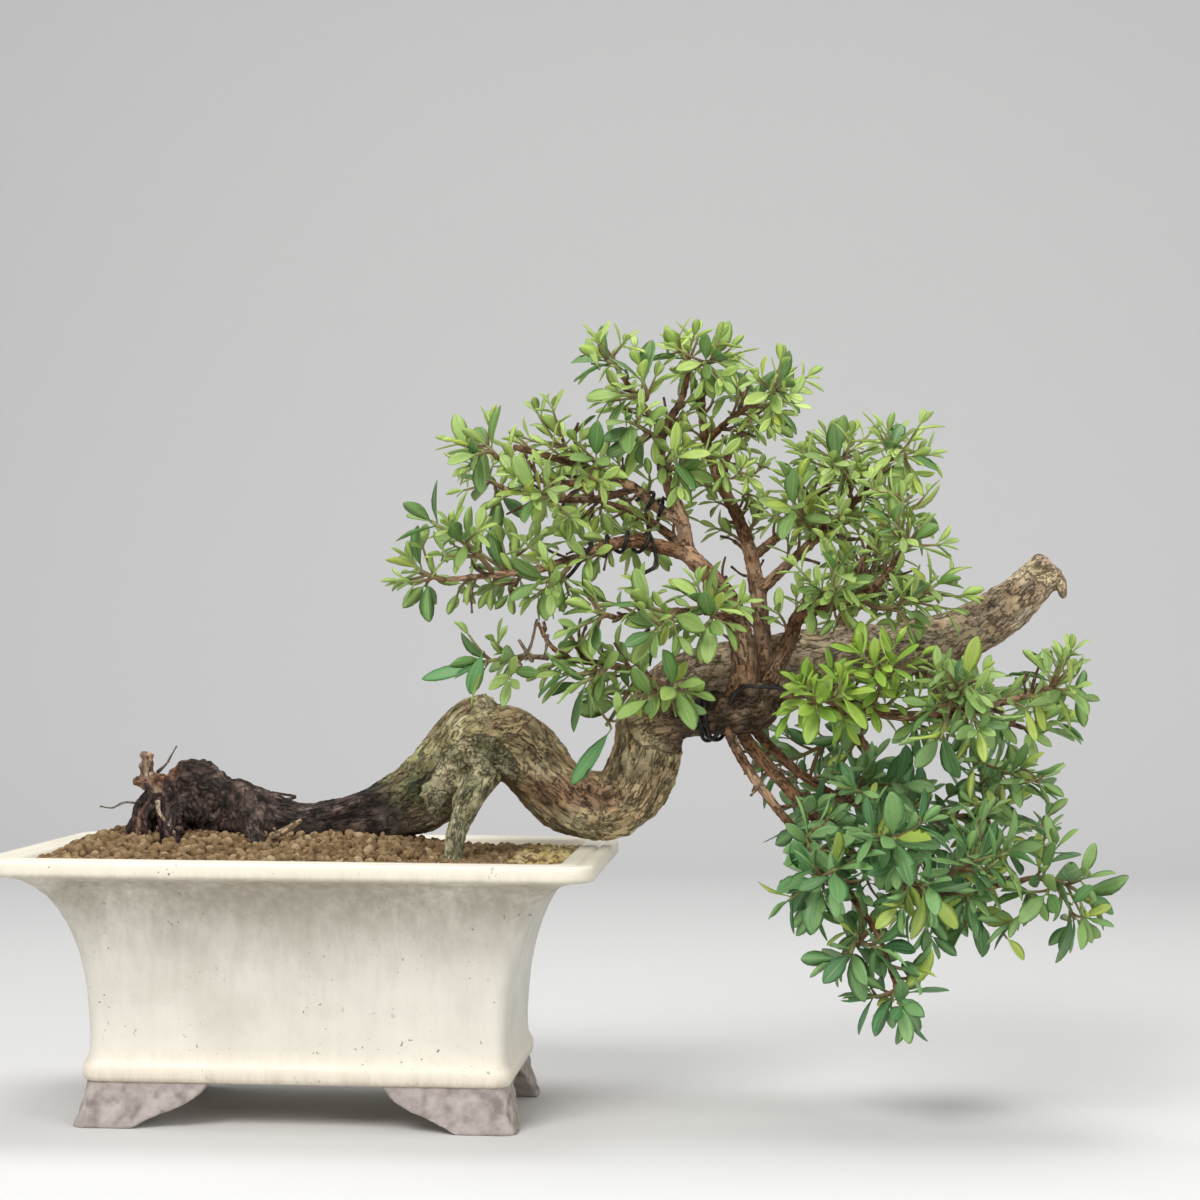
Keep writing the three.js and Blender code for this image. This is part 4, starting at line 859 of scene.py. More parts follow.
sprays = []
for bough, rows in SPRAYS.items():
    for number, (at, *tips) in enumerate(rows, 1):
        spray = Spray(bough, number, len(sprays), at, tips)
        for stem in spray.stems:
            obstacles.add(spray.index, [stem.at(i / 8) for i in range(9)], [stem.girth[0]] * 9)
        sprays.append(spray)
for spray in sprays:
    for k, stem in enumerate(spray.stems):
        spray.leaves += place_pairs(stem, spray.young, 2 if k == 0 else 0)

# Finer shoots and leaves between the ones of the solid model

# Added shoots of a spray, halved left of the open crown's edge, and how far they reach
EXTRA_STEMS = 10
EXTRA_REACH = 13
OPEN_CROWN_EDGE = 150
# Spacing of the short shoots along the leafy part of a bough
SHOOT_SPACING = 4.6


def extra_size(z):
    """Length of the small leaves between the large ones: shorter in the crown."""
    return lerp(15.5, 11, float(smoothstep(z, 120, 215)))


def extra_pairs(stem, size, steps, spacing):
    """The small leaves of an added stem."""
    half = NODE_LENGTH / 2 / stem.reach
    seed = stem.seed * 7
    twist = 1.2 * (draw(seed, 1) - 0.5)
    options = {"skin": THIN_SKIN, "width": lerp(0.32, 0.42, draw(seed, 9))}
    placed = place_pair(stem, 1 - half, twist, 0, 0.4, size * 0.8, seed, **options)
    placed += place_pair(stem, 1 - 3 * half, twist, 1, 0.85, size, seed + 1, **options)
    for i in range(1, steps + 1):
        t = 1 - (NODE_LENGTH + i * spacing) / stem.reach
        if t < 0.15:
            break
        placed += place_pair(stem, t, twist, (i + 1) % 2, 0.95, size, seed + i + 1, **options)
    return placed


def grow(spray, stem, size, steps, spacing):
    """Adds a stem to a spray, but only where it can carry leaves."""
    leaves = extra_pairs(stem, size, steps, spacing)
    if leaves:
        obstacles.add(spray.index, [stem.at(i / 4) for i in range(5)], [0.5] * 5)
        spray.stems.append(stem)
        spray.leaves += leaves


def extra_shoot(spray, start, heading, out, seed, girth=(0.7, 0.5)):
    """A short leafy shoot from a place on the wood."""
    reach = lerp(0.9, 1.9, draw(seed, 43)) * EXTRA_REACH + TIP_REACH * 0.5
    goal = start + unit(heading * 0.8 + out + UP * 0.25) * reach
    goal[1] = min(max(goal[1], -CAD_HALF_WIDTH + 6), CAD_HALF_WIDTH - 6)
    stem = make_stem(start, unit(out + heading), goal, girth, spray.index, seed)
    grow(spray, stem, extra_size(goal[2]), 2, 6)


for spray in sprays:
    for stem in list(spray.stems):
        half = LEAF_SPACING / 2 / stem.reach
        for t in np.arange(1 - 1.6 * half, 0.3, -2 * half):
            seed = int(stem.seed * 7 + 400 + t * 50)
            size = extra_size(stem.at(t)[2])
            spray.leaves += place_pair(stem, t, 0.4, 1, 0.9, size, seed, skin=THIN_SKIN, width=0.4)
    open_crown = spray.stems[0].tip[0] < OPEN_CROWN_EDGE
    for k in range(EXTRA_STEMS // 2 if open_crown else EXTRA_STEMS):
        seed = 9000 + spray.index * 10 + k
        parent = spray.stems[k % spray.forks]
        t = lerp(0.2, 0.92, draw(seed, 41))
        _, flat, rise = parent.frame(t)
        out = sideways(2 * math.pi * draw(seed, 42), flat, rise)
        extra_shoot(spray, parent.at(t), parent.tangent(t), out, seed)

# How far along its line a bough starts to carry short shoots, where it isn't a quarter
LEAFY_FROM = {
    "cascade_front": 0.45, "cascade_mid": 0.4, "cascade_back": 0.4, "rear_cascade": 0.3,
    "low_right": 0.2, "right": 0.3, "second_leader": 0.45, "front_left": 0.35, "rear_low": 0.2,
}
BOUGH_STATIONS = 40
for number, name in enumerate(BOUGHS):
    own = [spray for spray in sprays if spray.bough == name]
    if not own:
        continue
    line, radii = LIMBS[name]
    _, points, radii, tangents, sides, others = stations(line, radii, BOUGH_STATIONS)
    first = LEAFY_FROM.get(name, 0.25)
    count = int(length_of(line) * (1 - first) / SHOOT_SPACING)
    if line[-1][0] < OPEN_CROWN_EDGE:
        count = count * 6 // 10
    for k in range(count):
        seed = 20000 + number * 100 + k
        t = lerp(first, 0.98, (k + draw(seed, 44)) / count)
        i = int(t * BOUGH_STATIONS)
        out = sideways(2 * math.pi * draw(seed, 45), sides[i], others[i])
        spray = min(own, key=lambda s: np.linalg.norm(s.stems[0].foot - points[i]))
        extra_shoot(spray, points[i] + out * radii[i] * 0.6, tangents[i], out, seed, (0.8, 0.5))

# Places along a stem where a filling shoot may start
FILL_FROM = (0.45, 0.75, 0.95)
# Places that fine shoots fill with leaves: centre, half widths, and how many shoots are tried
FILLED = [
    ((178, 2, 264), (17, 24, 22), 60),
    ((222, -4, 250), (26, 22, 26), 70),
    ((220, -8, 206), (28, 14, 14), 60),
    ((240, -16, 162), (24, 22, 20), 70),
    ((278, -4, 128), (25, 22, 22), 90),
    ((262, -8, 80), (22, 16, 15), 45),
    ((218, -20, 122), (22, 18, 18), 40),
]


def fill(number, centre, spread, count):
    """Shoots that grow from the nearest twig towards places spread through an oval space."""
    for k in range(count):
        seed = 40000 + number * 500 + k
        goal = vec(centre) + vec(spread) * 1.6 * (vec([draw(seed, 46 + axis) for axis in range(3)]) - 0.5)
        starts = [(spray, stem, t) for spray in sprays for stem in spray.stems for t in FILL_FROM]
        feet = np.array([stem.at(t) for _, stem, t in starts])
        away = np.sqrt(((feet - goal) ** 2).sum(1))
        away[away < 7] = 99
        best = int(away.argmin())
        spray, parent, t = starts[best]
        if away[best] > 24 or spray.young:
            continue
        start = parent.at(t)
        heading = unit(goal - start)
        stem = make_stem(start, unit(heading + parent.tangent(t)), goal, (0.65, 0.45), spray.index, seed)
        grow(spray, stem, extra_size(goal[2]), 3, 5)


for number, (centre, spread, count) in enumerate(FILLED):
    fill(number, centre, spread, count)

# The upright leg of the trunk stays in view: leaves that would hide it are left out
for spray in sprays:
    if spray.bough == "front_left":
        spray.leaves = [
            leaf for leaf in spray.leaves
            if not (100 < leaf.middle[0] < 152 and leaf.middle[2] < 164)
        ]

# Single leaves that show against the background: bough, foot, tip and width
LONE_LEAVES = [
    ("front_left", (121, -27, 156), (105, -30, 134), 6.2),
    ("front_left", (73, -45, 181), (47, -47, 176.5), 5.6),
    ("front_left", (72, -46, 186), (67, -46, 169.5), 6.6),
    ("crown", (141, 4, 306), (140.5, 4, 320.5), 3.4),
    ("crown_tip_left", (114, -10, 300), (109, -11, 313), 3.8),
    ("crown_tip_right", (190, -4, 288), (196, -5, 298), 4.6),
    ("upper_left", (62, -24, 266), (58, -26, 281), 6.4),
]


def nearest_twig(place, bough):
    """The point of a bough and its twigs nearest to a place, where one more twig can start."""
    stems = [stem for spray in sprays if spray.bough == bough for stem in spray.stems]
    grown = [stem.at(t) for stem in stems for t in np.linspace(0.1, 0.95, 12)]
    grown += list(curve_points(LIMBS[bough][0], np.linspace(0.2, 1, 24)))
    return min(grown, key=lambda point: np.linalg.norm(point - place))


class LoneLeaf:
    """A leaf given by its foot and tip."""

    def __init__(self, foot, tip, width):
        self.foot, self.width = vec(foot), width
        reach = vec(tip) - self.foot
        self.length = float(np.linalg.norm(reach))
        self.along = reach / self.length
        face = vec((0.1, -1, 0.35))
        self.normal = unit(face - self.along * (face @ self.along))
        self.across = unit(np.cross(self.normal, self.along))
        self.middle = (vec(tip) + self.foot) / 2


for bough, foot, tip, width in LONE_LEAVES:
    spray = next(spray for spray in sprays if spray.bough == bough)
    foot = vec(foot)
    root = nearest_twig(foot, bough)
    middle = (root + foot) / 2 + UP
    reach = float(np.linalg.norm(foot - root))
    spray.stems.append(Stem(root, middle, foot, (0.7, 0.5), reach, 77, spray.index))
    spray.leaves.append(LoneLeaf(foot, tip, width))

# Leaves and shoots as meshes

# Rings along a leaf: share of its length, share of its half width, and thickness in millimetres
LEAF_RINGS = np.array([
    (0, 0.07, 0.75), (0.1, 0.08, 0.6), (0.23, 0.46, 0.5), (0.42, 0.87, 0.5),
    (0.62, 1.0, 0.48), (0.8, 0.84, 0.42), (0.93, 0.48, 0.34), (1, 0.1, 0.25),
])
# Places round a leaf's section: across, and on the upper (1) or under side (-1)
LEAF_RIM = np.array([(-1, 0), (-0.5, 1), (0, 1), (0.5, 1), (1, 0), (0, -1)])


def leaf_mesh(leaf, seed):
    """Rings of points of one leaf, and for each its place along and across and its side."""
    s, w, thick = LEAF_RINGS[:, 0:1], LEAF_RINGS[:, 1:2], LEAF_RINGS[:, 2:3]
    v, side = LEAF_RIM[None, :, 0], LEAF_RIM[None, :, 1]
    cup, wave, twist, curl = (draw(seed, k) for k in (51, 52, 53, 54))
    half = leaf.width / 2 * w
    across = half * v
    lift = half * v * v * lerp(0.08, 0.42, cup)
    lift = lift + 0.5 * (wave - 0.3) * np.sin(9 * s + 6 * twist) * abs(v) * w
    lift = lift + half * v * (twist - 0.5) * 0.5 * s
    drop = BLADE_ARCH * leaf.length * s * s * lerp(0.55, 1.25, curl)
    crease = -0.18 * np.where(v == 0, 1, 0) * w
    height = lift - drop + side * thick / 2 * (1 - 0.6 * v * v) + crease
    points = (
        leaf.foot
        + leaf.along * (leaf.length * s * (1 - 0.05 * s * curl))[..., None] * np.ones(v.shape)[..., None]
        + leaf.across * across[..., None]
        + leaf.normal * height[..., None]
    )
    data = np.stack(np.broadcast_arrays(s + 0 * v, v + 0 * s, side + 0 * s), -1)
    return points.reshape(-1, 3), data.reshape(-1, 3)


# Leaves shorter than this are fresh ones
SMALL_LEAF = 13


def leaf_colour(leaf, spray):
    """Blue-green low on the cascade, yellower in the crown and at the tips, lime on young shoots."""
    seed = int(abs(leaf.middle @ vec((13.7, 7.3, 3.1))) * 10)
    x, y, z = leaf.middle
    low = (1 - float(smoothstep(z, 120, 200))) * float(smoothstep(x, 150, 200))
    low *= 1 - 0.6 * float(smoothstep(x, 250, 285))
    deep = vec((0.08, 0.19, 0.05)) * (1 - low) + vec((0.062, 0.195, 0.07)) * low
    fresh = vec((0.37, 0.51, 0.13)) * (1 - low) + vec((0.27, 0.47, 0.17)) * low
    share = draw(seed, 1) ** 1.4
    if isinstance(leaf, LoneLeaf):
        return shade((0.10, 0.27, 0.09), (0.33, 0.48, 0.13), float(smoothstep(z, 170, 300)))
    if leaf.length < SMALL_LEAF:
        share = lerp(0.55, 1.1, draw(seed, 2))
    share *= float(lerp(0.75, 1.15, smoothstep(z, 150, 290)))
    colour = lerp(deep, fresh, min(share, 1.15))
    if spray.young:
        colour = shade((0.22, 0.40, 0.045), (0.36, 0.52, 0.07), draw(seed, 3))
    elif draw(seed, 4) > 0.93 - 0.05 * float(smoothstep(x, 230, 290)):
        colour = lerp(colour, vec((0.42, 0.52, 0.08)), 0.75)
    return colour * lerp(0.85, 1.15, draw(seed, 5))


def tube(line, radii, sides, first):
    """Rings of a round shoot along a list of points, and its faces numbered from first."""
    line = np.asarray(line)
    tangents = np.gradient(line, axis=0)
    tangents /= np.linalg.norm(tangents, axis=1)[:, None]
    side = vec((0.3, 1, 0.2))
    rings = []
    for p, tangent, r in zip(line, tangents, radii):
        side = unit(side - tangent * (side @ tangent))
        rings.append(p + r * circle(even_angles(sides), side, np.cross(tangent, side)))
    return np.vstack(rings), loft_faces(len(line), sides, first)


TWIG_SIDES = 7


def foliage(name, group):
    """One piece of all the leaves and shoots of some sprays."""
    points, faces, kinds, tints, places = [], [], [], [], []
    count = 0

    def add(new_points, new_faces, kind, tint, place):
        nonlocal count
        points.append(new_points)
        faces.extend(new_faces)
        kinds.extend([kind] * len(new_faces))
        tints.append(np.broadcast_to(tint, new_points.shape))
        places.append(place)
        count += len(new_points)

    for spray in group:
        for stem in spray.stems:
            steps = max(4, int(stem.reach / 2.5))
            line = [stem.at(i / steps) for i in range(steps + 1)]
            swell = [1 + 0.18 * draw(stem.seed + i, 61) for i in range(steps + 1)]
            radii = [stem.radius(i / steps) * 0.85 * swell[i] for i in range(steps + 1)]
            made, quads = tube(line, radii, TWIG_SIDES, count)
            along = np.repeat(np.linspace(0, 1, steps + 1), TWIG_SIDES)[:, None]
            tint = shade((0.17, 0.105, 0.06), (0.20, 0.24, 0.09), along**2)
            place = np.hstack([along * stem.reach / 10, np.zeros((len(made), 2))])
            add(made, quads, 1, tint, place)
        for leaf in spray.leaves:
            seed = int(abs(leaf.foot @ vec((3.3, 5.1, 7.7))) * 10)
            made, place = leaf_mesh(leaf, seed)
            quads = loft_faces(len(LEAF_RINGS), len(LEAF_RIM), count)
            tint = leaf_colour(leaf, spray) * np.where(place[:, 2:3] < 0, 1.25, 1)
            add(made, quads, 0, tint, place)
    obj = mesh_object(name, np.vstack(points), faces)
    mesh = obj.data
    mesh.materials.append(leaf_material)
    mesh.materials.append(twig_material)
    mesh.polygons.foreach_set("material_index", kinds)
    paint(mesh, "tint", np.vstack(tints))
    store(mesh, "blade", np.vstack(places))
    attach(obj, "root")
    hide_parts(*[spray.node for spray in group])



class Shader:
    """A Principled material and short ways to add nodes to it."""

    def __init__(self, name, roughness=0.6, specular=0.5, **sockets):
        self.material = bpy.data.materials.new(name)
        self.material.use_nodes = True
        self.tree = self.material.node_tree
        self.surface = self.tree.nodes["Principled BSDF"]
        self.surface.inputs["Roughness"].default_value = roughness
        self.surface.inputs["Specular IOR Level"].default_value = specular
        for key, value in sockets.items():
            self.surface.inputs[key.replace("_", " ")].default_value = value

    def node(self, kind, inputs=None, **settings):
        made = self.tree.nodes.new("ShaderNode" + kind)
        for key, value in settings.items():
            setattr(made, key, value)
        for key, value in (inputs or {}).items():
            if isinstance(value, bpy.types.NodeSocket):
                self.tree.links.new(value, made.inputs[key])
            else:
                made.inputs[key].default_value = value
        return made

    def attribute(self, name):
        return self.node("Attribute", attribute_name=name)

    def tint(self):
        """The colours stored on the mesh."""
        return self.attribute("tint").outputs["Color"]

    def place(self):
        """The place of a point in metres."""
        return self.node("TexCoord").outputs["Object"]

    def noise(self, vector, scale, detail=4, roughness=0.55):
        inputs = {"Vector": vector, "Scale": scale, "Detail": detail, "Roughness": roughness}
        return self.node("TexNoise", inputs).outputs["Fac"]

    def stretched(self, vector, scale):
        return self.node("Mapping", {"Vector": vector, "Scale": scale}).outputs["Vector"]

    def ramp(self, value, stops):
        """A colour or grey by value, between stops of (value, colour)."""
        made = self.node("ValToRGB", {"Fac": value})
        elements = made.color_ramp.elements
        for element, (at, colour) in zip([elements[0], elements[1]], [stops[0], stops[-1]]):
            element.position, element.color = at, grey(colour)
        for at, colour in stops[1:-1]:
            elements.new(at).color = grey(colour)
        return made.outputs["Color"]

    def mix(self, share, a, b, blend="MIX"):
        made = self.tree.nodes.new("ShaderNodeMix")
        made.data_type, made.blend_type, made.clamp_factor = "RGBA", blend, True
        for index, value in ((0, share), (6, a), (7, b)):
            if isinstance(value, bpy.types.NodeSocket):
                self.tree.links.new(value, made.inputs[index])
            elif index == 0:
                made.inputs[0].default_value = value
            else:
                made.inputs[index].default_value = grey(value)
        return made.outputs[2]

    def toned(self, share, base, tint, factors):
        """The base with a share of the tint, whose channels are multiplied by factors."""
        return self.mix(share, base, self.mix(1.0, tint, factors, "MULTIPLY"))

    def times(self, a, b):
        return self.math("MULTIPLY", a, b)

    def minus(self, a, b):
        return self.math("SUBTRACT", a, b)

    def plus(self, a, b):
        return self.math("ADD", a, b)

    def math(self, operation, a, b=0.0):
        made = self.tree.nodes.new("ShaderNodeMath")
        made.operation = operation
        for index, value in ((0, a), (1, b)):
            if isinstance(value, bpy.types.NodeSocket):
                self.tree.links.new(value, made.inputs[index])
            else:
                made.inputs[index].default_value = value
        return made.outputs[0]

    def colour(self, socket):
        self.tree.links.new(socket, self.surface.inputs["Base Color"])

    def roughness(self, value, low, high):
        made = self.node("MapRange", {"Value": value, "To Min": low, "To Max": high})
        self.tree.links.new(made.outputs["Result"], self.surface.inputs["Roughness"])

    def bump(self, height, distance, strength=1.0):
        made = self.node("Bump", {"Height": height, "Distance": distance * MM, "Strength": strength})
        self.tree.links.new(made.outputs["Normal"], self.surface.inputs["Normal"])


def grey(colour):
    """The four channels of a colour, or of a grey given as one number."""
    if isinstance(colour, (int, float)):
        return (colour, colour, colour, 1)
    return (*tuple(colour)[:3], 1)


def make_leaf_material():
    """Midrib and fine side veins from each point's place on its blade."""
    s = Shader("leaf", roughness=0.38, specular=0.5)
    tint = s.tint()
    parts = s.node("SeparateXYZ", {"Vector": s.attribute("blade").outputs["Vector"]})
    along, across = parts.outputs["X"], s.math("ABSOLUTE", parts.outputs["Y"])
    wave = s.math("SINE", s.times(s.minus(along, s.times(across, 0.16)), 88.0))
    veins = s.math("POWER", s.math("MAXIMUM", wave, 0.0), 6.0)
    midrib = s.ramp(across, [(0, 1), (0.05, 0.85), (0.11, 0)])
    rim = s.ramp(across, [(0.86, 0), (1, 1)])
    mottle = s.noise(s.place(), 420, 3)
    base = s.toned(s.ramp(mottle, [(0.3, 0), (0.7, 0.34)]), tint, tint, (1.5, 1.35, 1.05))
    base = s.mix(s.times(veins, 0.16), base, (0.30, 0.40, 0.16))
    base = s.mix(s.times(midrib, 0.5), base, (0.34, 0.42, 0.16))
    base = s.mix(s.times(rim, 0.25), base, (0.30, 0.34, 0.12))
    s.colour(base)
    s.roughness(s.noise(s.place(), 260, 3), 0.3, 0.55)
    height = s.minus(s.times(mottle, 0.35), s.times(midrib, 0.9))
    s.bump(s.minus(height, s.times(veins, 0.35)), 0.12)
    return s.material


def make_twig_material():
    """Grainy young bark over the vertex colours."""
    s = Shader("twig", roughness=0.8, specular=0.25)
    tint = s.tint()
    grain = s.noise(s.place(), 900, 5, 0.7)
    s.colour(s.toned(s.ramp(grain, [(0.35, 0), (0.65, 0.6)]), tint, tint, (1.9, 1.7, 1.5)))
    s.bump(grain, 0.25)
    return s.material


def make_bark_material():
    """Flaking bark: ragged scales, and broken fissures that run along the limb, over the vertex colours."""
    s = Shader("bark", roughness=0.86, specular=0.22)
    tint = s.tint()
    limb = s.attribute("limb").outputs["Vector"]
    grain = s.stretched(limb, (0.075, 0.26, 0.26))
    warp = s.node("TexNoise", {"Vector": grain, "Scale": 1.2, "Detail": 5.0}).outputs["Color"]
    bent = s.mix(0.5, grain, warp, "ADD")
    split = s.math("ABSOLUTE", s.minus(s.noise(bent, 1.5, 7, 0.6), 0.5))
    fissure = s.ramp(split, [(0.0, 1), (0.011, 0.8), (0.032, 0)])
    fissure = s.times(fissure, s.ramp(s.noise(limb, 0.13, 4), [(0.42, 0), (0.58, 1)]))
    scale = s.noise(s.stretched(limb, (0.15, 0.22, 0.22)), 1.0, 9, 0.62)
    scales = s.ramp(scale, [(0.52, 0), (0.535, 1)])
    rims = s.ramp(scale, [(0.49, 0), (0.515, 0.9), (0.527, 0)])
    patches = s.ramp(s.noise(limb, 0.09, 5, 0.6), [(0.4, 0), (0.62, 1)])
    grit = s.noise(s.place(), 620, 7, 0.7)
    layers = (
        (s.times(scales, 0.5), (1.5, 1.45, 1.28)),
        (s.times(patches, 0.4), (0.92, 0.68, 0.55)),
        (s.ramp(grit, [(0.33, 0.5), (0.46, 0)]), (0.45, 0.40, 0.34)),
        (s.ramp(grit, [(0.56, 0), (0.72, 0.7)]), (1.85, 1.8, 1.6)),
        (s.times(rims, 0.34), (0.30, 0.25, 0.20)),
        (s.times(fissure, 0.85), (0.16, 0.12, 0.09)),
    )
    base = tint
    for share, factors in layers:
        base = s.toned(share, base, tint, factors)
    s.colour(base)
    s.roughness(grit, 0.7, 0.97)
    height = s.plus(s.times(scales, 0.3), s.times(grit, 0.45))
    s.bump(s.minus(height, s.plus(s.times(fissure, 0.8), rims)), 0.9)
    return s.material


def make_soil_material():
    """Gritty baked clay over the vertex colours."""
    s = Shader("akadama", roughness=0.95, specular=0.15)
    tint = s.tint()
    grit = s.noise(s.place(), 1600, 6, 0.7)
    base = s.toned(s.ramp(grit, [(0.3, 0.9), (0.5, 0)]), tint, tint, (0.42, 0.38, 0.34))
    base = s.toned(s.ramp(grit, [(0.55, 0), (0.8, 0.7)]), base, tint, (1.8, 1.7, 1.5))
    s.colour(base)
    s.bump(grit, 0.35)
    return s.material


def make_bed_material():
    """The dark brown bed that shows between the grains, with a gritty bump."""
    s = Shader("soil_bed", roughness=0.97, specular=0.12)
    grit = s.noise(s.place(), 700, 6, 0.7)
    browns = [(0.3, (0.03, 0.019, 0.011)), (0.55, (0.10, 0.062, 0.033)), (0.8, (0.20, 0.125, 0.068))]
    s.colour(s.ramp(grit, browns))
    s.bump(grit, 0.6)
    return s.material


def make_glaze_material():
    """Cream glaze, yellower on rim and foot moulding, with dirt run down from the rim and painted shade under
    it, and dark specks.
    """
    s = Shader("cream_glaze", roughness=0.38, specular=0.5, Coat_Weight=0.12, Coat_Roughness=0.2)
    place = s.place()
    parts = s.node("SeparateXYZ", {"Vector": place})
    height = parts.outputs["Z"]
    creams = [(0.3, (0.58, 0.545, 0.47)), (0.5, (0.68, 0.645, 0.57)), (0.7, (0.76, 0.72, 0.635))]
    base = s.ramp(s.noise(place, 26, 6, 0.62), creams)
    warm = [(0.02, 0.8), (0.026, 0.9), (0.031, 0.25), (0.045, 0.1), (0.099, 0.0), (0.1005, 0.85)]
    base = s.mix(s.ramp(height, warm), base, (0.87, 0.80, 0.65))
    run = s.noise(s.stretched(place, (1.0, 1.0, 0.16)), 210, 7, 0.68)
    broad = s.noise(s.stretched(place, (1.0, 1.0, 0.4)), 42, 5, 0.6)
    # Painted shade under the overhanging rim, mixed with streaky dirt: grey-brown, darkest just under the
    # lip.
    under_rim = s.ramp(height, [(0.060, 0), (0.078, 0.4), (0.092, 0.85), (0.0992, 1), (0.1003, 0.06)])
    ragged = s.plus(s.ramp(run, [(0.36, 0.15), (0.64, 0.8)]), s.ramp(broad, [(0.36, 0.05), (0.6, 0.65)]))
    dirt_and_shade = s.times(ragged, under_rim)
    base = s.mix(s.times(dirt_and_shade, 0.68), base, (0.27, 0.235, 0.165))
    face = s.ramp(height, [(0.03, 0), (0.04, 0.6), (0.07, 1), (0.098, 1), (0.1, 0)])
    veil = s.times(s.ramp(run, [(0.42, 0), (0.7, 0.5)]), face)
    base = s.mix(s.times(veil, 0.5), base, (0.45, 0.42, 0.36))
    foot = s.ramp(height, [(0.0185, 0.85), (0.0205, 0.25), (0.0245, 0.1), (0.0265, 0.35), (0.03, 0)])
    base = s.mix(s.times(foot, s.ramp(run, [(0.35, 0.2), (0.65, 0.9)])), base, (0.45, 0.34, 0.25))
    right = s.ramp(parts.outputs["X"], [(0.0, 0), (0.012, 0), (0.03, 1)])
    low = s.ramp(height, [(0.024, 0), (0.03, 1), (0.05, 0.7), (0.066, 0)])
    stain = s.times(s.times(right, low), s.ramp(broad, [(0.4, 0.2), (0.6, 0.9)]))
    base = s.mix(s.times(stain, 0.35), base, (0.70, 0.46, 0.32))
    # Painted shade: a darker, broken line round the outside of the rim stands for the shade of a groove.
    groove = s.ramp(height, [(0.1005, 0), (0.1012, 1), (0.1022, 1), (0.103, 0)])
    groove = s.times(groove, s.ramp(run, [(0.3, 0.3), (0.7, 1)]))
    base = s.mix(s.times(groove, 0.3), base, (0.35, 0.28, 0.2))
    soot = s.ramp(s.noise(place, 520, 3, 0.5), [(0.69, 0), (0.71, 1)])
    fleck = s.ramp(s.noise(place, 230, 4, 0.6), [(0.705, 0), (0.72, 1)])
    chance = s.ramp(s.noise(place, 45, 3), [(0.47, 0.12), (0.58, 1)])
    spots = s.times(s.math("MAXIMUM", soot, fleck), chance)
    s.colour(s.mix(s.times(spots, 0.85), base, (0.10, 0.08, 0.06)))
    s.roughness(s.plus(dirt_and_shade, s.noise(place, 120, 4)), 0.3, 0.65)
    s.bump(s.plus(s.noise(place, 110, 5), s.times(run, 0.5)), 0.3)
    return s.material


def make_clay_material():
    """Unglazed weathered clay of the feet, grey with a pink cast and pale rubbed relief."""
    s = Shader("bare_clay", roughness=0.9, specular=0.2)
    place = s.place()
    relief = s.attribute("relief").outputs["Color"]
    greys = [(0.3, (0.29, 0.25, 0.225)), (0.5, (0.42, 0.365, 0.335)), (0.72, (0.53, 0.475, 0.43))]
    base = s.ramp(s.noise(place, 120, 6, 0.68), greys)
    base = s.mix(s.ramp(relief, [(0.35, 0.7), (0.5, 0)]), base, (0.20, 0.165, 0.145))
    base = s.mix(s.ramp(relief, [(0.55, 0), (0.75, 0.55)]), base, (0.55, 0.49, 0.45))
    s.colour(base)
    s.bump(s.noise(place, 500, 5, 0.7), 0.3)
    return s.material


def make_wire_material():
    """Dark wire, rubbed paler in places."""
    s = Shader("training_wire", roughness=0.45, specular=0.5, Metallic=0.55)
    wear = s.noise(s.place(), 400, 4)
    s.colour(s.ramp(wear, [(0.4, (0.012, 0.011, 0.010)), (0.7, (0.05, 0.042, 0.035))]))
    s.roughness(wear, 0.35, 0.6)
    s.bump(wear, 0.08)
    return s.material


def make_screen_material():
    """Dark plastic mesh."""
    s = Shader("drain_screen", roughness=0.7, specular=0.3)
    wear = s.noise(s.place(), 500, 4)
    s.colour(s.ramp(wear, [(0.4, (0.015, 0.015, 0.015)), (0.7, (0.05, 0.045, 0.04))]))
    s.bump(wear, 0.1)
    return s.material


leaf_material = make_leaf_material()
twig_material = make_twig_material()
bark_material = make_bark_material()
soil_material = make_soil_material()
glaze_material = make_glaze_material()
clay_material = make_clay_material()
wire_material = make_wire_material()

# Foliage, a piece for each bough
groups = {}
for spray in sprays:
    groups.setdefault((spray.bough, spray.young), []).append(spray)
for (bough, young), group in groups.items():
    foliage(f"foliage_{bough}{'_young' if young else ''}", group)


# Wood


def fluting(angle, s):
    """Flutes round a limb, as a share of its radius, by the angle and the place along it."""
    return 0.06 * np.sin(3 * angle + 1.9 * s) + 0.04 * np.sin(5 * angle - 2.7 * s + 1.3)


def limb_rings(line, radii, sides, spacing, bark, blunt):
    """A round limb in fine rings, its flutes those of the solid model, with round ends."""
    steps = max(6, int(length_of(curve_points(line, np.linspace(0, 1, 60))) / spacing))
    t, points, r, tangents, side, other = stations(line, radii, steps)
    angles = even_angles(sides)

    def ring(i, share, push):
        reach = r[i] * share * (1 + bark * fluting(angles, t[i] * (len(line) - 1)))
        return points[i] + tangents[i] * push + reach[:, None] * circle(angles, side[i], other[i])

    # The share of the radius, and how far that ring stands out past the last one
    dome = ((0.35, 0.62), (0.62, 0.56), (0.85, 0.38), (0.96, 0.18))
    rings = [ring(0, share, -push * r[0] * blunt[0]) for share, push in dome]
    rings += [ring(i, 1, 0) for i in range(steps + 1)]
    rings += [ring(steps, share, push * r[-1] * blunt[1]) for share, push in reversed(dome)]
    return np.vstack(rings), len(rings), sides


def joined(name, parts):
    """One object of several lofts, each with its points, number of rings and points in a ring."""
    points, faces, count = [], [], 0
    for made, rings, sides in parts:
        faces += loft_faces(rings, sides, count)
        points.append(made)
        count += len(made)
    return mesh_object(name, np.vstack(points), faces)


# Rings of a healed scar: share of its radius, and how far out of the trunk
SCAR_RINGS = ((1.05, -3), (1.1, 0.6), (1.0, 1.9), (0.8, 2.5), (0.55, 2.2), (0.35, 1.2), (0.1, 0.9))


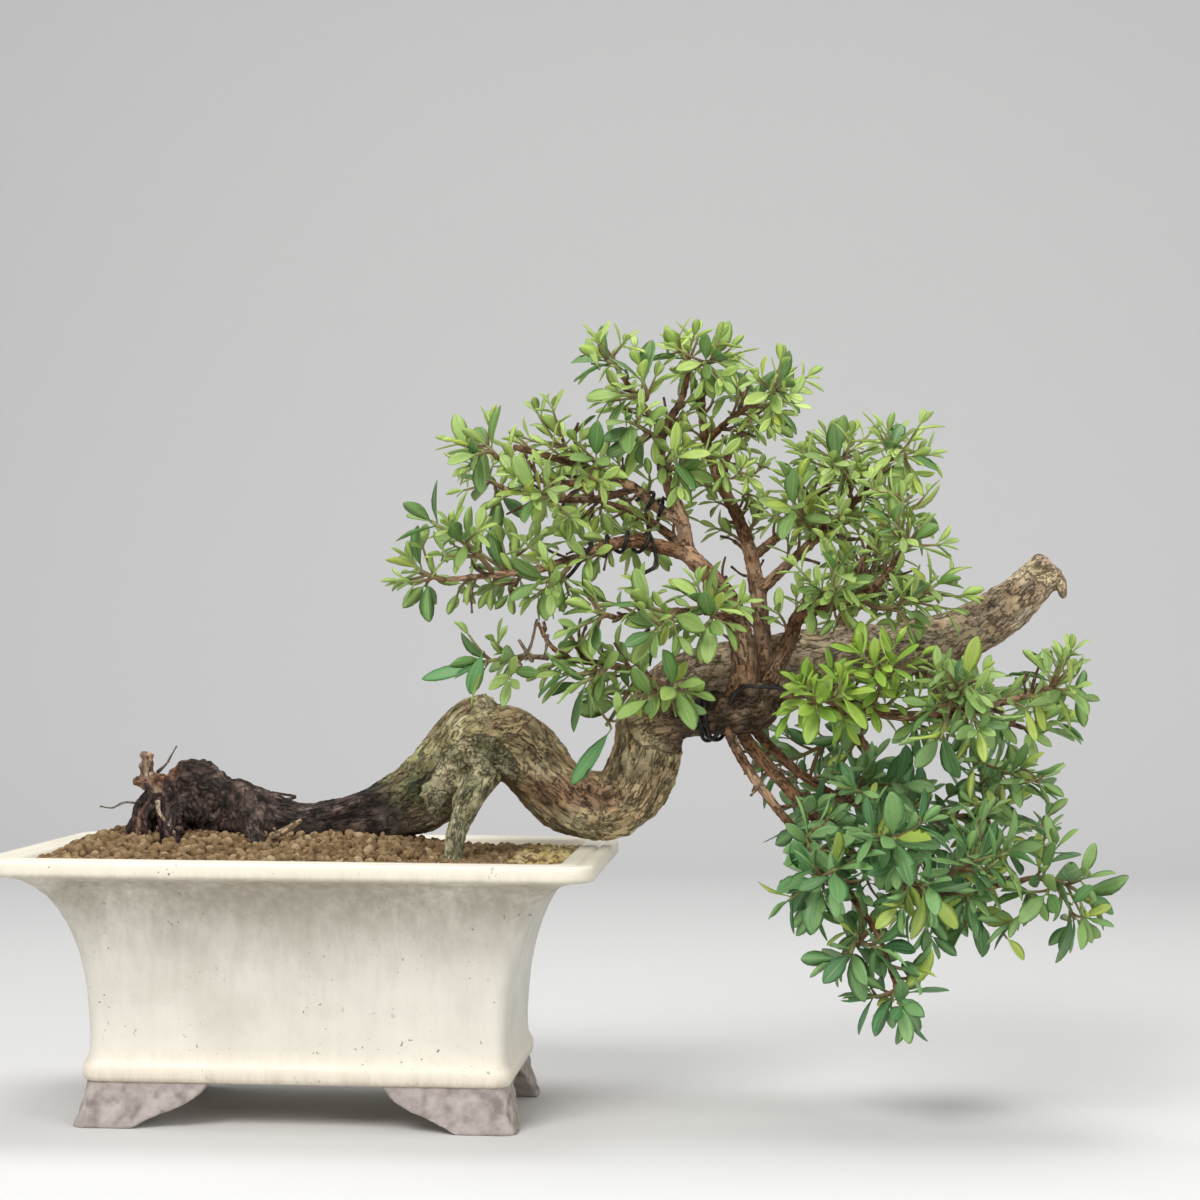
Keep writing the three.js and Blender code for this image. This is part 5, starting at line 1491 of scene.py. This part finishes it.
def scar_rings(at, out, radius, sides=20):
    """A healed ring round a sunken middle, its foot in the trunk."""
    out = unit(vec(out))
    side = unit(np.cross(out, UP))
    angles = even_angles(sides)
    rings = []
    for share, push in SCAR_RINGS:
        wobble = 1 + 0.08 * np.sin(2 * angles + radius * 9) + 0.05 * np.sin(5 * angles)
        reach = radius * share * wobble
        rings.append(vec(at) + out * push + reach[:, None] * circle(angles, side, np.cross(out, side)))
    return np.vstack(rings), len(rings), sides


def limb_places(points, names):
    """For each point its place along and across its nearest limb, that limb's name and its radius there."""
    rows = []
    for number, name in enumerate(names):
        line, radii = LIMBS[name]
        length = length_of(curve_points(line, np.linspace(0, 1, 60)))
        steps = max(8, int(length / 1.5))
        t, centres, r, _, side, other = stations(line, radii, steps)
        rows += [(number, t[i] * length, centres[i], r[i], side[i], other[i]) for i in range(steps + 1)]
    numbers, along, centres, radii, sides, others = (np.array(column) for column in zip(*rows))
    tree = KDTree(len(rows))
    for i, centre in enumerate(centres):
        tree.insert(centre, i)
    tree.balance()
    found = np.array([[hit[1] for hit in tree.find_n(p, 3)] for p in points.tolist()])
    depth = np.sqrt(((points[:, None] - centres[found]) ** 2).sum(2)) - radii[found]
    best = found[np.arange(len(points)), depth.argmin(1)]
    d = points - centres[best]
    across, aside = (d * sides[best]).sum(1), (d * others[best]).sum(1)
    places = np.column_stack([along[best] + 60 * numbers[best], across, aside])
    return places, [names[k] for k in numbers[best]], radii[best]


def ridges(values):
    return (1 - abs(values)) ** 1.6


def region(points, x, z, wide, high):
    """One at a place of the picture's plane, falling to nothing around it."""
    return np.exp(-(((points[:, 0] - x) / wide) ** 2 + ((points[:, 2] - z) / high) ** 2))[:, None]


def of_limbs(names, chosen):
    """One for the points of some limbs, and nothing for the others."""
    return np.array([name in chosen for name in names])[:, None]


def bark_tint(points, names):
    """Colours of the bark by where it is on the tree, before the fine pattern of the material."""
    x, y, z = (points[:, k : k + 1] for k in range(3))
    patch = layered(points / 15, 3, 3)[:, None]
    fine = layered(points / 4.5, 3, 9)[:, None]
    colour = shade((0.42, 0.335, 0.19), (0.61, 0.52, 0.32), smoothstep(patch, -0.3, 0.45))
    colour = lerp(colour, vec((0.23, 0.155, 0.095)), 0.5 * smoothstep(fine, 0.1, 0.55))
    smooth_skin = region(points, 97, 131, 17, 5.5) + region(points, 112, 126, 14, 5)
    colour = lerp(colour, vec((0.35, 0.215, 0.135)), np.clip(0.95 * smooth_skin, 0, 0.9))
    underside = region(points, 105, 112, 22, 9)
    colour = lerp(colour, vec((0.40, 0.365, 0.215)), 0.7 * underside)
    hump = smoothstep(x, 24, 42) * (1 - smoothstep(x, 62, 78)) * smoothstep(z, 122, 138)
    pinkish = layered(points / 6, 3, 21)[:, None]
    ochre = shade((0.32, 0.29, 0.145), (0.66, 0.60, 0.37), smoothstep(fine + 0.4 * patch, -0.25, 0.45))
    ochre = lerp(ochre, vec((0.30, 0.18, 0.115)), 0.8 * smoothstep(pinkish, 0.12, 0.4))
    colour = lerp(colour, ochre, 0.85 * hump)
    wet = smoothstep(40 - x - 0.6 * (z - 125) + 10 * patch, -12, 16) * (x < 62)
    purple = shade((0.034, 0.024, 0.023), (0.15, 0.108, 0.098), smoothstep(fine, -0.1, 0.55))
    colour = lerp(colour, purple, np.clip(wet, 0, 1) * 0.97)
    green = smoothstep(x, 10, 30) * (1 - smoothstep(x, 44, 56)) * smoothstep(z + 0.5 * patch * 20, 124, 140)
    colour = lerp(colour, vec((0.16, 0.20, 0.07)), 0.6 * green * smoothstep(fine, -0.4, 0.4))
    # Painted shade: the hollows by the scars at the front of the arch are darkened to a near-black moss
    # green.
    hollow = (region(points, 60, 140, 11, 7) + region(points, 42, 130, 9, 8)) * (y < 9)
    moss_in_shade = shade((0.022, 0.032, 0.014), (0.14, 0.17, 0.07), smoothstep(fine, 0.05, 0.5))
    colour = lerp(colour, moss_in_shade, np.clip(1.1 * hollow, 0, 0.93))
    aerial = shade((0.22, 0.215, 0.12), (0.50, 0.46, 0.30), smoothstep(fine, -0.4, 0.5))
    colour = np.where(of_limbs(names, ("aerial_root", "spur")), aerial, colour)
    ruddy = shade((0.20, 0.10, 0.06), (0.36, 0.22, 0.14), smoothstep(fine, -0.4, 0.5))
    bared = (1 - smoothstep(x + 4 * fine, -62, -55)) * smoothstep(z, 126, 130)
    colour = lerp(colour, ruddy, of_limbs(names, ("side_root",)) * bared)
    knob = shade((0.27, 0.18, 0.115), (0.46, 0.36, 0.26), smoothstep(fine, -0.4, 0.5))
    colour = np.where(of_limbs(names, ("upright_root",)), knob, colour)
    arm = shade((0.075, 0.05, 0.032), (0.26, 0.185, 0.12), smoothstep(fine + 0.5 * patch, -0.3, 0.6))
    colour = lerp(colour, arm, of_limbs(names, ("arm",)) * smoothstep(x + 6 * fine, 131, 147))
    grey_limb = shade((0.33, 0.255, 0.17), (0.52, 0.43, 0.305), smoothstep(fine + patch, -0.5, 0.7))
    colour = np.where(of_limbs(names, ("rear",)), grey_limb, colour)
    snapped = of_limbs(names, ("rear", "snag")) * smoothstep(x, 289, 297)
    colour = lerp(colour, vec((0.55, 0.42, 0.30)), 0.8 * snapped * smoothstep(fine, -0.5, 0.3))
    twig = shade((0.22, 0.115, 0.06), (0.42, 0.28, 0.18), smoothstep(patch + 0.6 * fine, -0.4, 0.5))
    return np.where(of_limbs(names, BOUGHS), twig, colour)


def wood_piece(name, parts, names, voxel, relief):
    """Fuses limbs, roughens them along their own grain and stores their colours, with painted shade in the
    furrows and painted light on the ridges.
    """
    obj = remeshed(joined(name + "_raw", parts), name, voxel)
    mesh = obj.data
    points = relaxed(points_of(mesh), mesh, 3)
    set_points(mesh, points)
    places, limbs, radii = limb_places(points, names)
    grain = places * [0.11, 0.42, 0.42]
    strips = places * [0.05, 0.2, 0.2]
    furrow = 0.6 * ridges(layered(grain, 3, 1)) + 0.7 * ridges(layered(strips, 2, 5)) - 0.75
    lumps = layered(points / 8, 3, 11)
    size = np.clip(radii / 13, 0.12, 1)
    grit = layered(points / 2.2, 2, 13)
    rings = 0.16 * np.sin(places[:, 0] * 1.5 + 2 * lumps) * np.clip(1.3 - size, 0, 1)
    deep = 1 + 0.9 * of_limbs(limbs, ("rising",))[:, 0]
    rotten = 1 - smoothstep(points[:, 0], -40, -22)
    push = relief * (size * (1.5 * deep * furrow + 0.8 * lumps + 0.45 * grit) + rings)
    knots = layered(points / 4.2, 3, 31)
    push = push + rotten * (1.6 * lumps + 1.5 * knots + 1.2 * grit)
    set_points(mesh, points + normals_of(mesh) * push[:, None])
    # Painted light and shade: the bark colours are darkened in the furrows and lightened on the ridges.
    light = 0.82 + 0.75 * np.clip(furrow * deep, -0.6, 0.5)
    paint(mesh, "tint", bark_tint(points, limbs) * light[:, None])
    store(mesh, "limb", places)
    dress(obj, bark_material)
    smooth(mesh)
    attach(obj, "root")
    return obj


# The torn sliver at the broken end of the rear limb
LIMBS["snag"] = ([(291, 32, 219), (298, 31.5, 219.5), (302, 31, 215.5), (303.5, 31, 210)], [6, 4.2, 2.8, 1.6])
# Distance between the rings of a limb, and the size of the cubes that fuse and thin the wood
RING_SPACING = 1.2
TRUNK_VOXEL = 0.92
BOUGH_VOXEL = 0.66

trunk_parts = [
    limb_rings(*LIMBS[name], 40, RING_SPACING, 1, BLUNT_ENDS.get(name, (0.4, 0.4))) for name in TRUNK
]
trunk_parts += [limb_rings(*LIMBS[name], 20, RING_SPACING, 0.6, (0.4, 0.4)) for name in ROOTS]
trunk_parts += [scar_rings(*row) for row in SCARS]
trunk_parts.append(limb_rings(*LIMBS["snag"], 14, 0.8, 0.8, (0, 0.5)))
bough_parts = [limb_rings(*LIMBS[name], 16, RING_SPACING, 0.5, (0, 0.5)) for name in BOUGHS]
trunk = wood_piece("trunk", trunk_parts, [*TRUNK, *ROOTS, "snag"], TRUNK_VOXEL, 0.9)
boughs = wood_piece("boughs", bough_parts, [*BOUGHS], BOUGH_VOXEL, 0.7)
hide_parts("tree")
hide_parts("tree")

# Wires
WIRE_STEP = 0.8
WIRE_SIDES = 10

for name, line in wire_lines().items():
    steps = int(length_of(line) / WIRE_STEP)
    fine = curve_points(line, np.linspace(0, 1, steps + 1))
    wire = mesh_object(name + "_round", *tube(fine, np.full(steps + 1, WIRE_RADIUS * 0.9), WIRE_SIDES, 0))
    dress(wire, wire_material)
    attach(wire, "root")
    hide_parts(name)

# Fine roots and bare twigs

FINE_RNG = np.random.default_rng(5)


def tubes(name, rows, material):
    """One piece of many thin curved tubes: points, radius at the foot and end, and a colour."""
    points, faces, tints, limbs, count = [], [], [], [], 0
    for line, foot, end, tint in rows:
        length = length_of(line)
        steps = max(4, int(length / 1.6))
        t = np.linspace(0, 1, steps + 1)
        wobble = np.clip(1 + 0.15 * FINE_RNG.normal(size=steps + 1), 0.7, 1.4)
        made, quads = tube(curve_points(line, t), lerp(foot, end, t) * wobble, TWIG_SIDES, count)
        points.append(made)
        faces += quads
        tints.append(np.broadcast_to(vec(tint), made.shape))
        around = np.tile(np.arange(TWIG_SIDES), steps + 1)
        limbs.append(np.column_stack([np.repeat(t * length, TWIG_SIDES), around, 0 * made[:, 0]]))
        count += len(made)
    obj = mesh_object(name, np.vstack(points), faces)
    paint(obj.data, "tint", np.vstack(tints))
    store(obj.data, "limb", np.vstack(limbs))
    dress(obj, material)
    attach(obj, "root")


GREY_ROOT = (0.33, 0.29, 0.25)
BROWN_ROOT = (0.42, 0.31, 0.19)
# Roots that stick out of the stump and the soil: points, radius at the foot and the end, and colour
LOOSE_ROOTS = [
    ([(-71, -8, 123.5), (-78, -9, 124), (-83, -9.5, 121.8), (-88, -10, 122.4)], 0.55, 0.35, GREY_ROOT),
    ([(-66, -3, 136), (-62, -5, 139.5), (-60, -6, 142.5), (-57.5, -6, 147)], 0.7, 0.3, (0.30, 0.24, 0.19)),
    ([(-63, -15, 125), (-62, -17, 121), (-59, -18, 117), (-55, -19, 112.5)], 0.9, 0.6, (0.52, 0.42, 0.30)),
    ([(-15, -24, 111.5), (-9, -24, 114.5), (-3, -22, 118.5)], 1.5, 1.1, BROWN_ROOT),
    ([(-12, -24.5, 113), (-13.5, -25.5, 115.5)], 0.8, 0.5, BROWN_ROOT),
]
STUMP_ROOTS = 120
STUMP_FOOT = 109.5


def stump_roots():
    """Rotting rootlets down the sides of the old stump, each laid on the wood from outside."""
    rows = list(LOOSE_ROOTS)
    for number in range(STUMP_ROOTS):
        angle = FINE_RNG.uniform(0, 2 * math.pi)
        out = vec((math.cos(angle), math.sin(angle), 0))
        core = np.array([FINE_RNG.uniform(-68, -44), FINE_RNG.uniform(-2, 2), 0.0])
        top = FINE_RNG.uniform(117, 134)
        turn = np.cross(UP, out)
        radius = FINE_RNG.uniform(0.5, 1.5)
        points, slip = [], FINE_RNG.uniform(-1, 1) * 3
        for k in range(5):
            level = lerp(top, STUMP_FOOT, k / 4) + FINE_RNG.normal() * 0.8
            middle = core + turn * (slip * k / 4 + FINE_RNG.normal() * 0.8)
            far = (middle + out * 45 + ORIGIN) * MM
            far[2] = level * MM
            hit, place, *_ = trunk.ray_cast(far.tolist(), (-out).tolist())
            if hit:
                points.append(vec(place) / MM - ORIGIN + out * radius * 0.25)
        if len(points) < 3 or abs(points[-1] - core)[:2].max() > 24:
            continue
        points.append(points[-1] + [0, 0, -2.0] + out * FINE_RNG.uniform(0, 1.5))
        brown = shade((0.035, 0.024, 0.024), (0.12, 0.08, 0.07), FINE_RNG.random())
        if points[0][0] < -62 and number % 2:
            brown = shade((0.16, 0.075, 0.045), (0.34, 0.22, 0.15), FINE_RNG.random())
        rows.append((points, radius, FINE_RNG.uniform(0.4, 0.9), brown))
    return rows


# Grey bare twigs that show at the front left: middle and tip
FRONT_TWIGS = [
    ((90, -46, 187), (93, -45, 199)), ((91, -45, 183), (86, -46, 191)),
    ((96, -44, 185), (97, -42, 193)), ((87, -45, 181), (80, -44, 187)),
]
TWIG_SPACING = 8


def bare_twigs():
    """Leafless twiglets: a few at the front left, and others drawn along every bough."""
    rows = []
    for middle, tip in FRONT_TWIGS:
        rows.append(([nearest_twig(vec(middle), "front_left"), middle, tip], 0.85, 0.6, (0.27, 0.21, 0.15)))
    for name in BOUGHS:
        _, points, radii, tangents, sides, others = stations(*LIMBS[name], BOUGH_STATIONS)
        for _ in range(int(length_of(points) / TWIG_SPACING)):
            i = int(FINE_RNG.uniform(0.2, 1) * BOUGH_STATIONS)
            out = sideways(FINE_RNG.uniform(0, 2 * math.pi), sides[i], others[i])
            heading = unit(out + tangents[i] * FINE_RNG.uniform(0.2, 1.2) + UP * 0.3)
            reach = FINE_RNG.uniform(4, 15)
            start = points[i] + out * radii[i] * 0.5
            middle = start + heading * reach * 0.5 + FINE_RNG.normal(size=3) * reach * 0.08
            end = start + heading * reach
            if abs(end[1]) > CAD_HALF_WIDTH:
                continue
            brown = shade((0.16, 0.09, 0.05), (0.33, 0.24, 0.16), FINE_RNG.random())
            foot, tip = FINE_RNG.uniform(0.6, 0.95), FINE_RNG.uniform(0.45, 0.7)
            rows.append(([start, middle, end], foot, tip, brown))
    return rows


# Soil

# Half length and half width of the bed that carries grains
BED_HALF = vec((102.5, 68.5))


def soil_height(x, y):
    """The bed's height: a low ridge under the trunk."""
    along = smoothstep(x, -112, -80) * (1 - smoothstep(x, 10, 88))
    across = np.exp(-((y / 40) ** 2))
    return SOIL_EDGE + SOIL_RIDGE * along * across + 1.5 * across


def icosphere():
    shape = bmesh.new()
    bmesh.ops.create_icosphere(shape, subdivisions=2, radius=1)
    points = np.array([v.co for v in shape.verts])
    faces = [[v.index for v in f.verts] for f in shape.faces]
    shape.free()
    return points, faces


def inside_trunk(points, margin):
    """True for points within the trunk or a root, where no grain can be."""
    inside = np.zeros(len(points), bool)
    for name in [*TRUNK, *ROOTS]:
        _, centre, r, *_ = stations(*LIMBS[name], 24)
        gap = np.linalg.norm(points[:, None] - centre[None], axis=2) - r
        inside |= (gap < margin).any(1)
    return inside


# Some grains right of this place are yellow
STONY_FROM = 82


def grains(name, count, size, lift, seed):
    """Broken clay grains spread over the soil in staggered rows, each a little off its place."""
    shape, triangles = icosphere()
    draws = np.random.default_rng(seed)
    half_length, half_width = BED_HALF
    pitch = math.sqrt(4 * half_length * half_width / count)
    spots = np.array([
        (x + (row % 2) * pitch / 2, y)
        for row, y in enumerate(np.arange(-half_width + pitch / 2, half_width, pitch))
        for x in np.arange(-half_length + pitch / 3, half_length - pitch / 3, pitch)
    ])
    spots += draws.uniform(-0.3, 0.3, spots.shape) * pitch
    spots = np.clip(spots, -BED_HALF, BED_HALF)
    z = soil_height(spots[:, 0], spots[:, 1]) + lift + draws.uniform(-0.6, 0.9, len(spots))
    centres = np.column_stack([spots, z])
    centres = centres[~inside_trunk(centres, 0.4)]
    points, tints = [], []
    for n, centre in enumerate(centres):
        axes = draws.uniform(0.34, 0.62, 3) * size
        turn, _ = np.linalg.qr(draws.normal(size=(3, 3)))
        rough = 1 + 0.22 * noise(shape * 1.7 + n * 7.7, 2) + 0.14 * noise(shape * 4.1 + n * 3.1, 3)
        points.append(centre + (shape * rough[:, None] * axes) @ turn)
        tint = shade((0.155, 0.095, 0.045), (0.33, 0.225, 0.118), draws.random())
        if draws.random() > 0.93:
            tint = vec((0.42, 0.31, 0.18))
        if centre[0] > STONY_FROM and draws.random() > 0.4:
            tint = shade((0.46, 0.34, 0.11), (0.60, 0.50, 0.28), draws.random())
        tints.append(np.broadcast_to(tint, shape.shape))
    firsts = len(shape) * np.arange(len(centres))[:, None, None]
    faces = (np.array(triangles)[None] + firsts).reshape(-1, 3)
    obj = mesh_object(name, np.vstack(points), faces)
    paint(obj.data, "tint", np.vstack(tints))
    dress(obj, soil_material)
    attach(obj, "root")


grains("soil_grains_coarse", 1750, 4.1, 0.9, 21)
grains("soil_grains_fine", 950, 3.0, 1.6, 22)
tubes("loose_roots", stump_roots(), bark_material)
tubes("bare_twigs", bare_twigs(), bark_material)
dress(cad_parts["soil"], make_bed_material())
for side in ("left", "right"):
    dress(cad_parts["drain_screen_" + side], make_screen_material())

# Pot

CORNER_STEPS = 9
SIDE_STEPS = 3


def rounded_ring(half_length, half_width, radius, z):
    """A level ring round a rectangle with rounded corners, with points along its sides too."""
    ring = []
    for corner in range(4):
        sx = 1 if corner in (0, 3) else -1
        sy = 1 if corner < 2 else -1
        for i in range(CORNER_STEPS + 1):
            angle = (corner + i / CORNER_STEPS) * math.pi / 2
            ring.append((
                sx * (half_length - radius) + radius * math.cos(angle),
                sy * (half_width - radius) + radius * math.sin(angle), z,
            ))
    ring = np.array(ring)
    filled = []
    for i, p in enumerate(ring):
        filled.append(p)
        after = ring[(i + 1) % len(ring)]
        if (i + 1) % (CORNER_STEPS + 1) == 0:
            filled += [lerp(p, after, k / SIDE_STEPS) for k in range(1, SIDE_STEPS)]
    return np.array(filled)


def wall_ring(z, flare, inset):
    """A ring of the pot's wall, between the neck's size and the rim's."""
    radius = lerp(NECK_CORNER, RIM_CORNER, flare)
    return rounded_ring(
        lerp(NECK_HALF[0], RIM_HALF[0], flare) - inset,
        lerp(NECK_HALF[1], RIM_HALF[1], flare) - inset,
        max(radius - inset * 0.4, 3), z,
    )


def flare_at(z):
    heights, flares = np.array(FLARE).T
    return float(np.interp(z, heights, flares))


def loft_object(name, rings):
    return mesh_object(name, np.vstack(rings), loft_faces(len(rings), len(rings[0])))


def cut(obj, tools):
    """The object with the tools cut out of it."""
    for tool in tools:
        modifier = obj.modifiers.new("cut", "BOOLEAN")
        modifier.operation = "DIFFERENCE"
        modifier.object = tool
        modifier.solver = "EXACT"
    made = baked(obj, obj.name)
    for tool in tools:
        bpy.data.objects.remove(tool)
    return made


def prism(name, outline, half_depth, along_x=False):
    """A closed outline (sideways, height) pushed through the pot from side to side."""
    n = len(outline)
    points = []
    for depth in (-half_depth, half_depth):
        points += [(depth, u, z) if along_x else (u, depth, z) for u, z in outline]
    faces = [[i, (i + 1) % n, n + (i + 1) % n, n + i] for i in range(n)]
    faces += [list(range(n))[::-1], [n + i for i in range(n)]]
    obj = mesh_object(name, points, faces)
    shape = bmesh.new()
    shape.from_mesh(obj.data)
    bmesh.ops.recalc_face_normals(shape, faces=shape.faces)
    shape.to_mesh(obj.data)
    shape.free()
    return obj


def foot_gap(half_side, scale):
    """The outline of the open space between two feet on one side of the pot."""
    edge = curve_points([[u, 0, z] for u, z in FOOT_EDGE], np.linspace(0, 1, 25))
    right = [(half_side - p[0] * scale, p[2]) for p in edge]
    left = [(-x, z) for x, z in reversed(right)]
    foot = half_side - FOOT_EDGE[0][0] * scale
    return right + left + [(-foot, -2), (foot, -2)]


def drain_tool(side):
    """A round pin that cuts a drain hole through the pot's floor."""
    angles = even_angles(32)
    x, y = side * DRAIN_X + DRAIN_RADIUS * np.cos(angles), DRAIN_RADIUS * np.sin(angles)
    return loft_object("drain_tool", [np.column_stack([x, y, np.full(32, z)]) for z in (5, 34)])


def make_pot():
    """The glazed bowl with its grooved rim, its inside and two drain holes."""
    outer = [wall_ring(z, flare, 0) for z, flare in FLARE]
    rim = [wall_ring(z, flare, inset) for z, flare, inset in RIM_TOP]
    inner = [wall_ring(z, flare_at(z), WALL) for z in (88, 80, 70, 54, FLOOR_TOP)]
    body = cut(loft_object("pot_body", outer + rim + inner), [drain_tool(-1), drain_tool(1)])
    dress(body, glaze_material)
    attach(body, "root")
    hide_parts("pot")


FOOT_VOXEL = 0.7


def make_feet():
    """Four bracket feet with a low scrolled relief, fused and softened."""
    top = BODY_BASE + 0.6
    spread = [NECK_HALF[0] + FOOT_SPREAD, NECK_HALF[1] + FOOT_SPREAD]
    outside = loft_object("feet_raw", [
        rounded_ring(spread[0] + 1.2, spread[1] + 0.4, 6, 0),
        rounded_ring(spread[0] + 1.0, spread[1] + 0.2, 6, 1.5),
        rounded_ring(spread[0] - 0.2, spread[1] - 1.2, 6, 5),
        rounded_ring(NECK_HALF[0] + 2.2, NECK_HALF[1] + 1.6, 6, 10),
        rounded_ring(NECK_HALF[0] + 1.2, NECK_HALF[1] + 0.9, 6, 14),
        rounded_ring(NECK_HALF[0] + 0.6, NECK_HALF[1] + 0.4, 6, top),
    ])
    hollow = loft_object("feet_hollow", [
        rounded_ring(spread[0] - FOOT_THICKNESS, spread[1] - FOOT_THICKNESS, 4, -1),
        rounded_ring(NECK_HALF[0] - FOOT_THICKNESS, NECK_HALF[1] - FOOT_THICKNESS, 4, top + 1),
    ])
    long_gap = prism("long_gap", foot_gap(spread[0] + 1.4, 1), 80)
    short_gap = prism("short_gap", foot_gap(spread[1] + 0.6, SHORT_SIDE_SCALE), 120, along_x=True)
    feet = remeshed(cut(outside, [hollow, long_gap, short_gap]), "pot_feet", FOOT_VOXEL)
    mesh = feet.data
    points = relaxed(points_of(mesh), mesh, 4)
    set_points(mesh, points)
    normals = normals_of(mesh)
    from_corner = np.hypot(spread[0] - abs(points[:, 0]) - 12, points[:, 2] - 7)
    from_end = np.hypot(spread[1] - abs(points[:, 1]) - 12, points[:, 2] - 7)
    facing = abs(normals[:, 1]) > abs(normals[:, 0])
    distance = np.where(facing, from_corner, from_end)
    sideways = np.where(facing, abs(points[:, 0]), abs(points[:, 1]))
    swirl = np.sin(distance * 0.8 + 1.3 * np.sin(sideways * 0.31 + points[:, 2] * 0.4))
    worn = np.clip(0.45 + 0.9 * layered(points / 7, 2, 31), 0, 1)
    outward = smoothstep(np.hypot(normals[:, 0], normals[:, 1]), 0.5, 0.9)
    relief = outward * worn * swirl * smoothstep(points[:, 2], 1, 4) * (1 - smoothstep(points[:, 2], 13, 17))
    low = layered(points / 3.2, 3, 33)
    made = points + normals * (0.55 * relief + 0.3 * low)[:, None]
    made[:, 2] = np.where(points[:, 2] < 1.2, np.maximum(points[:, 2] - points[:, 2].min(), 0), made[:, 2])
    set_points(mesh, made)
    paint(mesh, "relief", (0.5 + 0.16 * relief + 0.2 * low)[:, None] * np.ones(3))
    dress(feet, clay_material)
    smooth(mesh)
    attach(feet, "root")
    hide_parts("pot")


make_pot()
make_feet()

# Floor, lights and camera


def make_floor():
    """A plain floor that curves up behind the object."""
    s = Shader("studio_floor", roughness=0.8, specular=0.2)
    s.surface.inputs["Base Color"].default_value = (0.72, 0.71, 0.69, 1)
    mesh = bpy.data.meshes.new("studio_floor")
    bend = np.linspace(0, math.pi / 2, 16)
    profile = [(-3, 0), *((1.2 + 0.6 * math.sin(a), 0.6 - 0.6 * math.cos(a)) for a in bend), (1.8, 3)]
    points = [(x, y, z) for y, z in profile for x in (-4, 4)]
    faces = [(2 * i, 2 * i + 1, 2 * i + 3, 2 * i + 2) for i in range(len(profile) - 1)]
    mesh.from_pydata(points, [], faces)
    smooth(mesh)
    floor = linked("studio_floor", mesh)
    dress(floor, s.material)


def area_light(name, place, target, size, power):
    data = bpy.data.lights.new(name, "AREA")
    data.shape, data.size, data.energy = "DISK", size, power
    light = linked(name, data)
    light.location = place
    light.rotation_euler = (Vector(target) - Vector(place)).to_track_quat("-Z", "Y").to_euler()


make_floor()
area_light("key", (-0.55, -1.3, 1.25), (0, 0, 0.12), 0.9, 21)
area_light("fill", (1.1, -1.0, 0.75), (0.05, 0, 0.15), 1.0, 8)
area_light("top", (0.1, 0.25, 1.5), (0.05, 0, 0.15), 0.8, 10)
world = bpy.data.worlds.new("studio")
world.use_nodes = True
sky = world.node_tree.nodes["Background"].inputs
sky["Color"].default_value = (0.9, 0.93, 1.0, 1)
sky["Strength"].default_value = 0.45
bpy.context.scene.world = world
bpy.context.scene.view_settings.view_transform = "Standard"

# Place round the pot, angles in radians, and the photograph's focal length in its own pixels
CAMERA_PLACE = vec((189.7, -1069.8, 186.0))
YAW, PITCH, ROLL = -0.0704, 0.01998, 0.00699
FOCAL_PIXELS, IMAGE_PIXELS, SENSOR = 2649, 1200, 36


def make_camera():
    data = bpy.data.cameras.new("camera")
    data.sensor_width = SENSOR
    data.lens = FOCAL_PIXELS / IMAGE_PIXELS * SENSOR
    data.clip_start, data.clip_end = 0.05, 50
    camera = linked("camera", data)
    forward = Vector((math.sin(YAW) * math.cos(PITCH), math.cos(YAW) * math.cos(PITCH), math.sin(PITCH)))
    right = Vector((math.cos(YAW), -math.sin(YAW), 0))
    up = right.cross(forward)
    turned_right = math.cos(ROLL) * right + math.sin(ROLL) * up
    turned_up = -math.sin(ROLL) * right + math.cos(ROLL) * up
    matrix = Matrix((turned_right, turned_up, -forward)).transposed().to_4x4()
    matrix.translation = Vector((CAMERA_PLACE + ORIGIN) * MM)
    camera.matrix_world = matrix
    bpy.context.scene.camera = camera


make_camera()

bpy.context.view_layer.update()
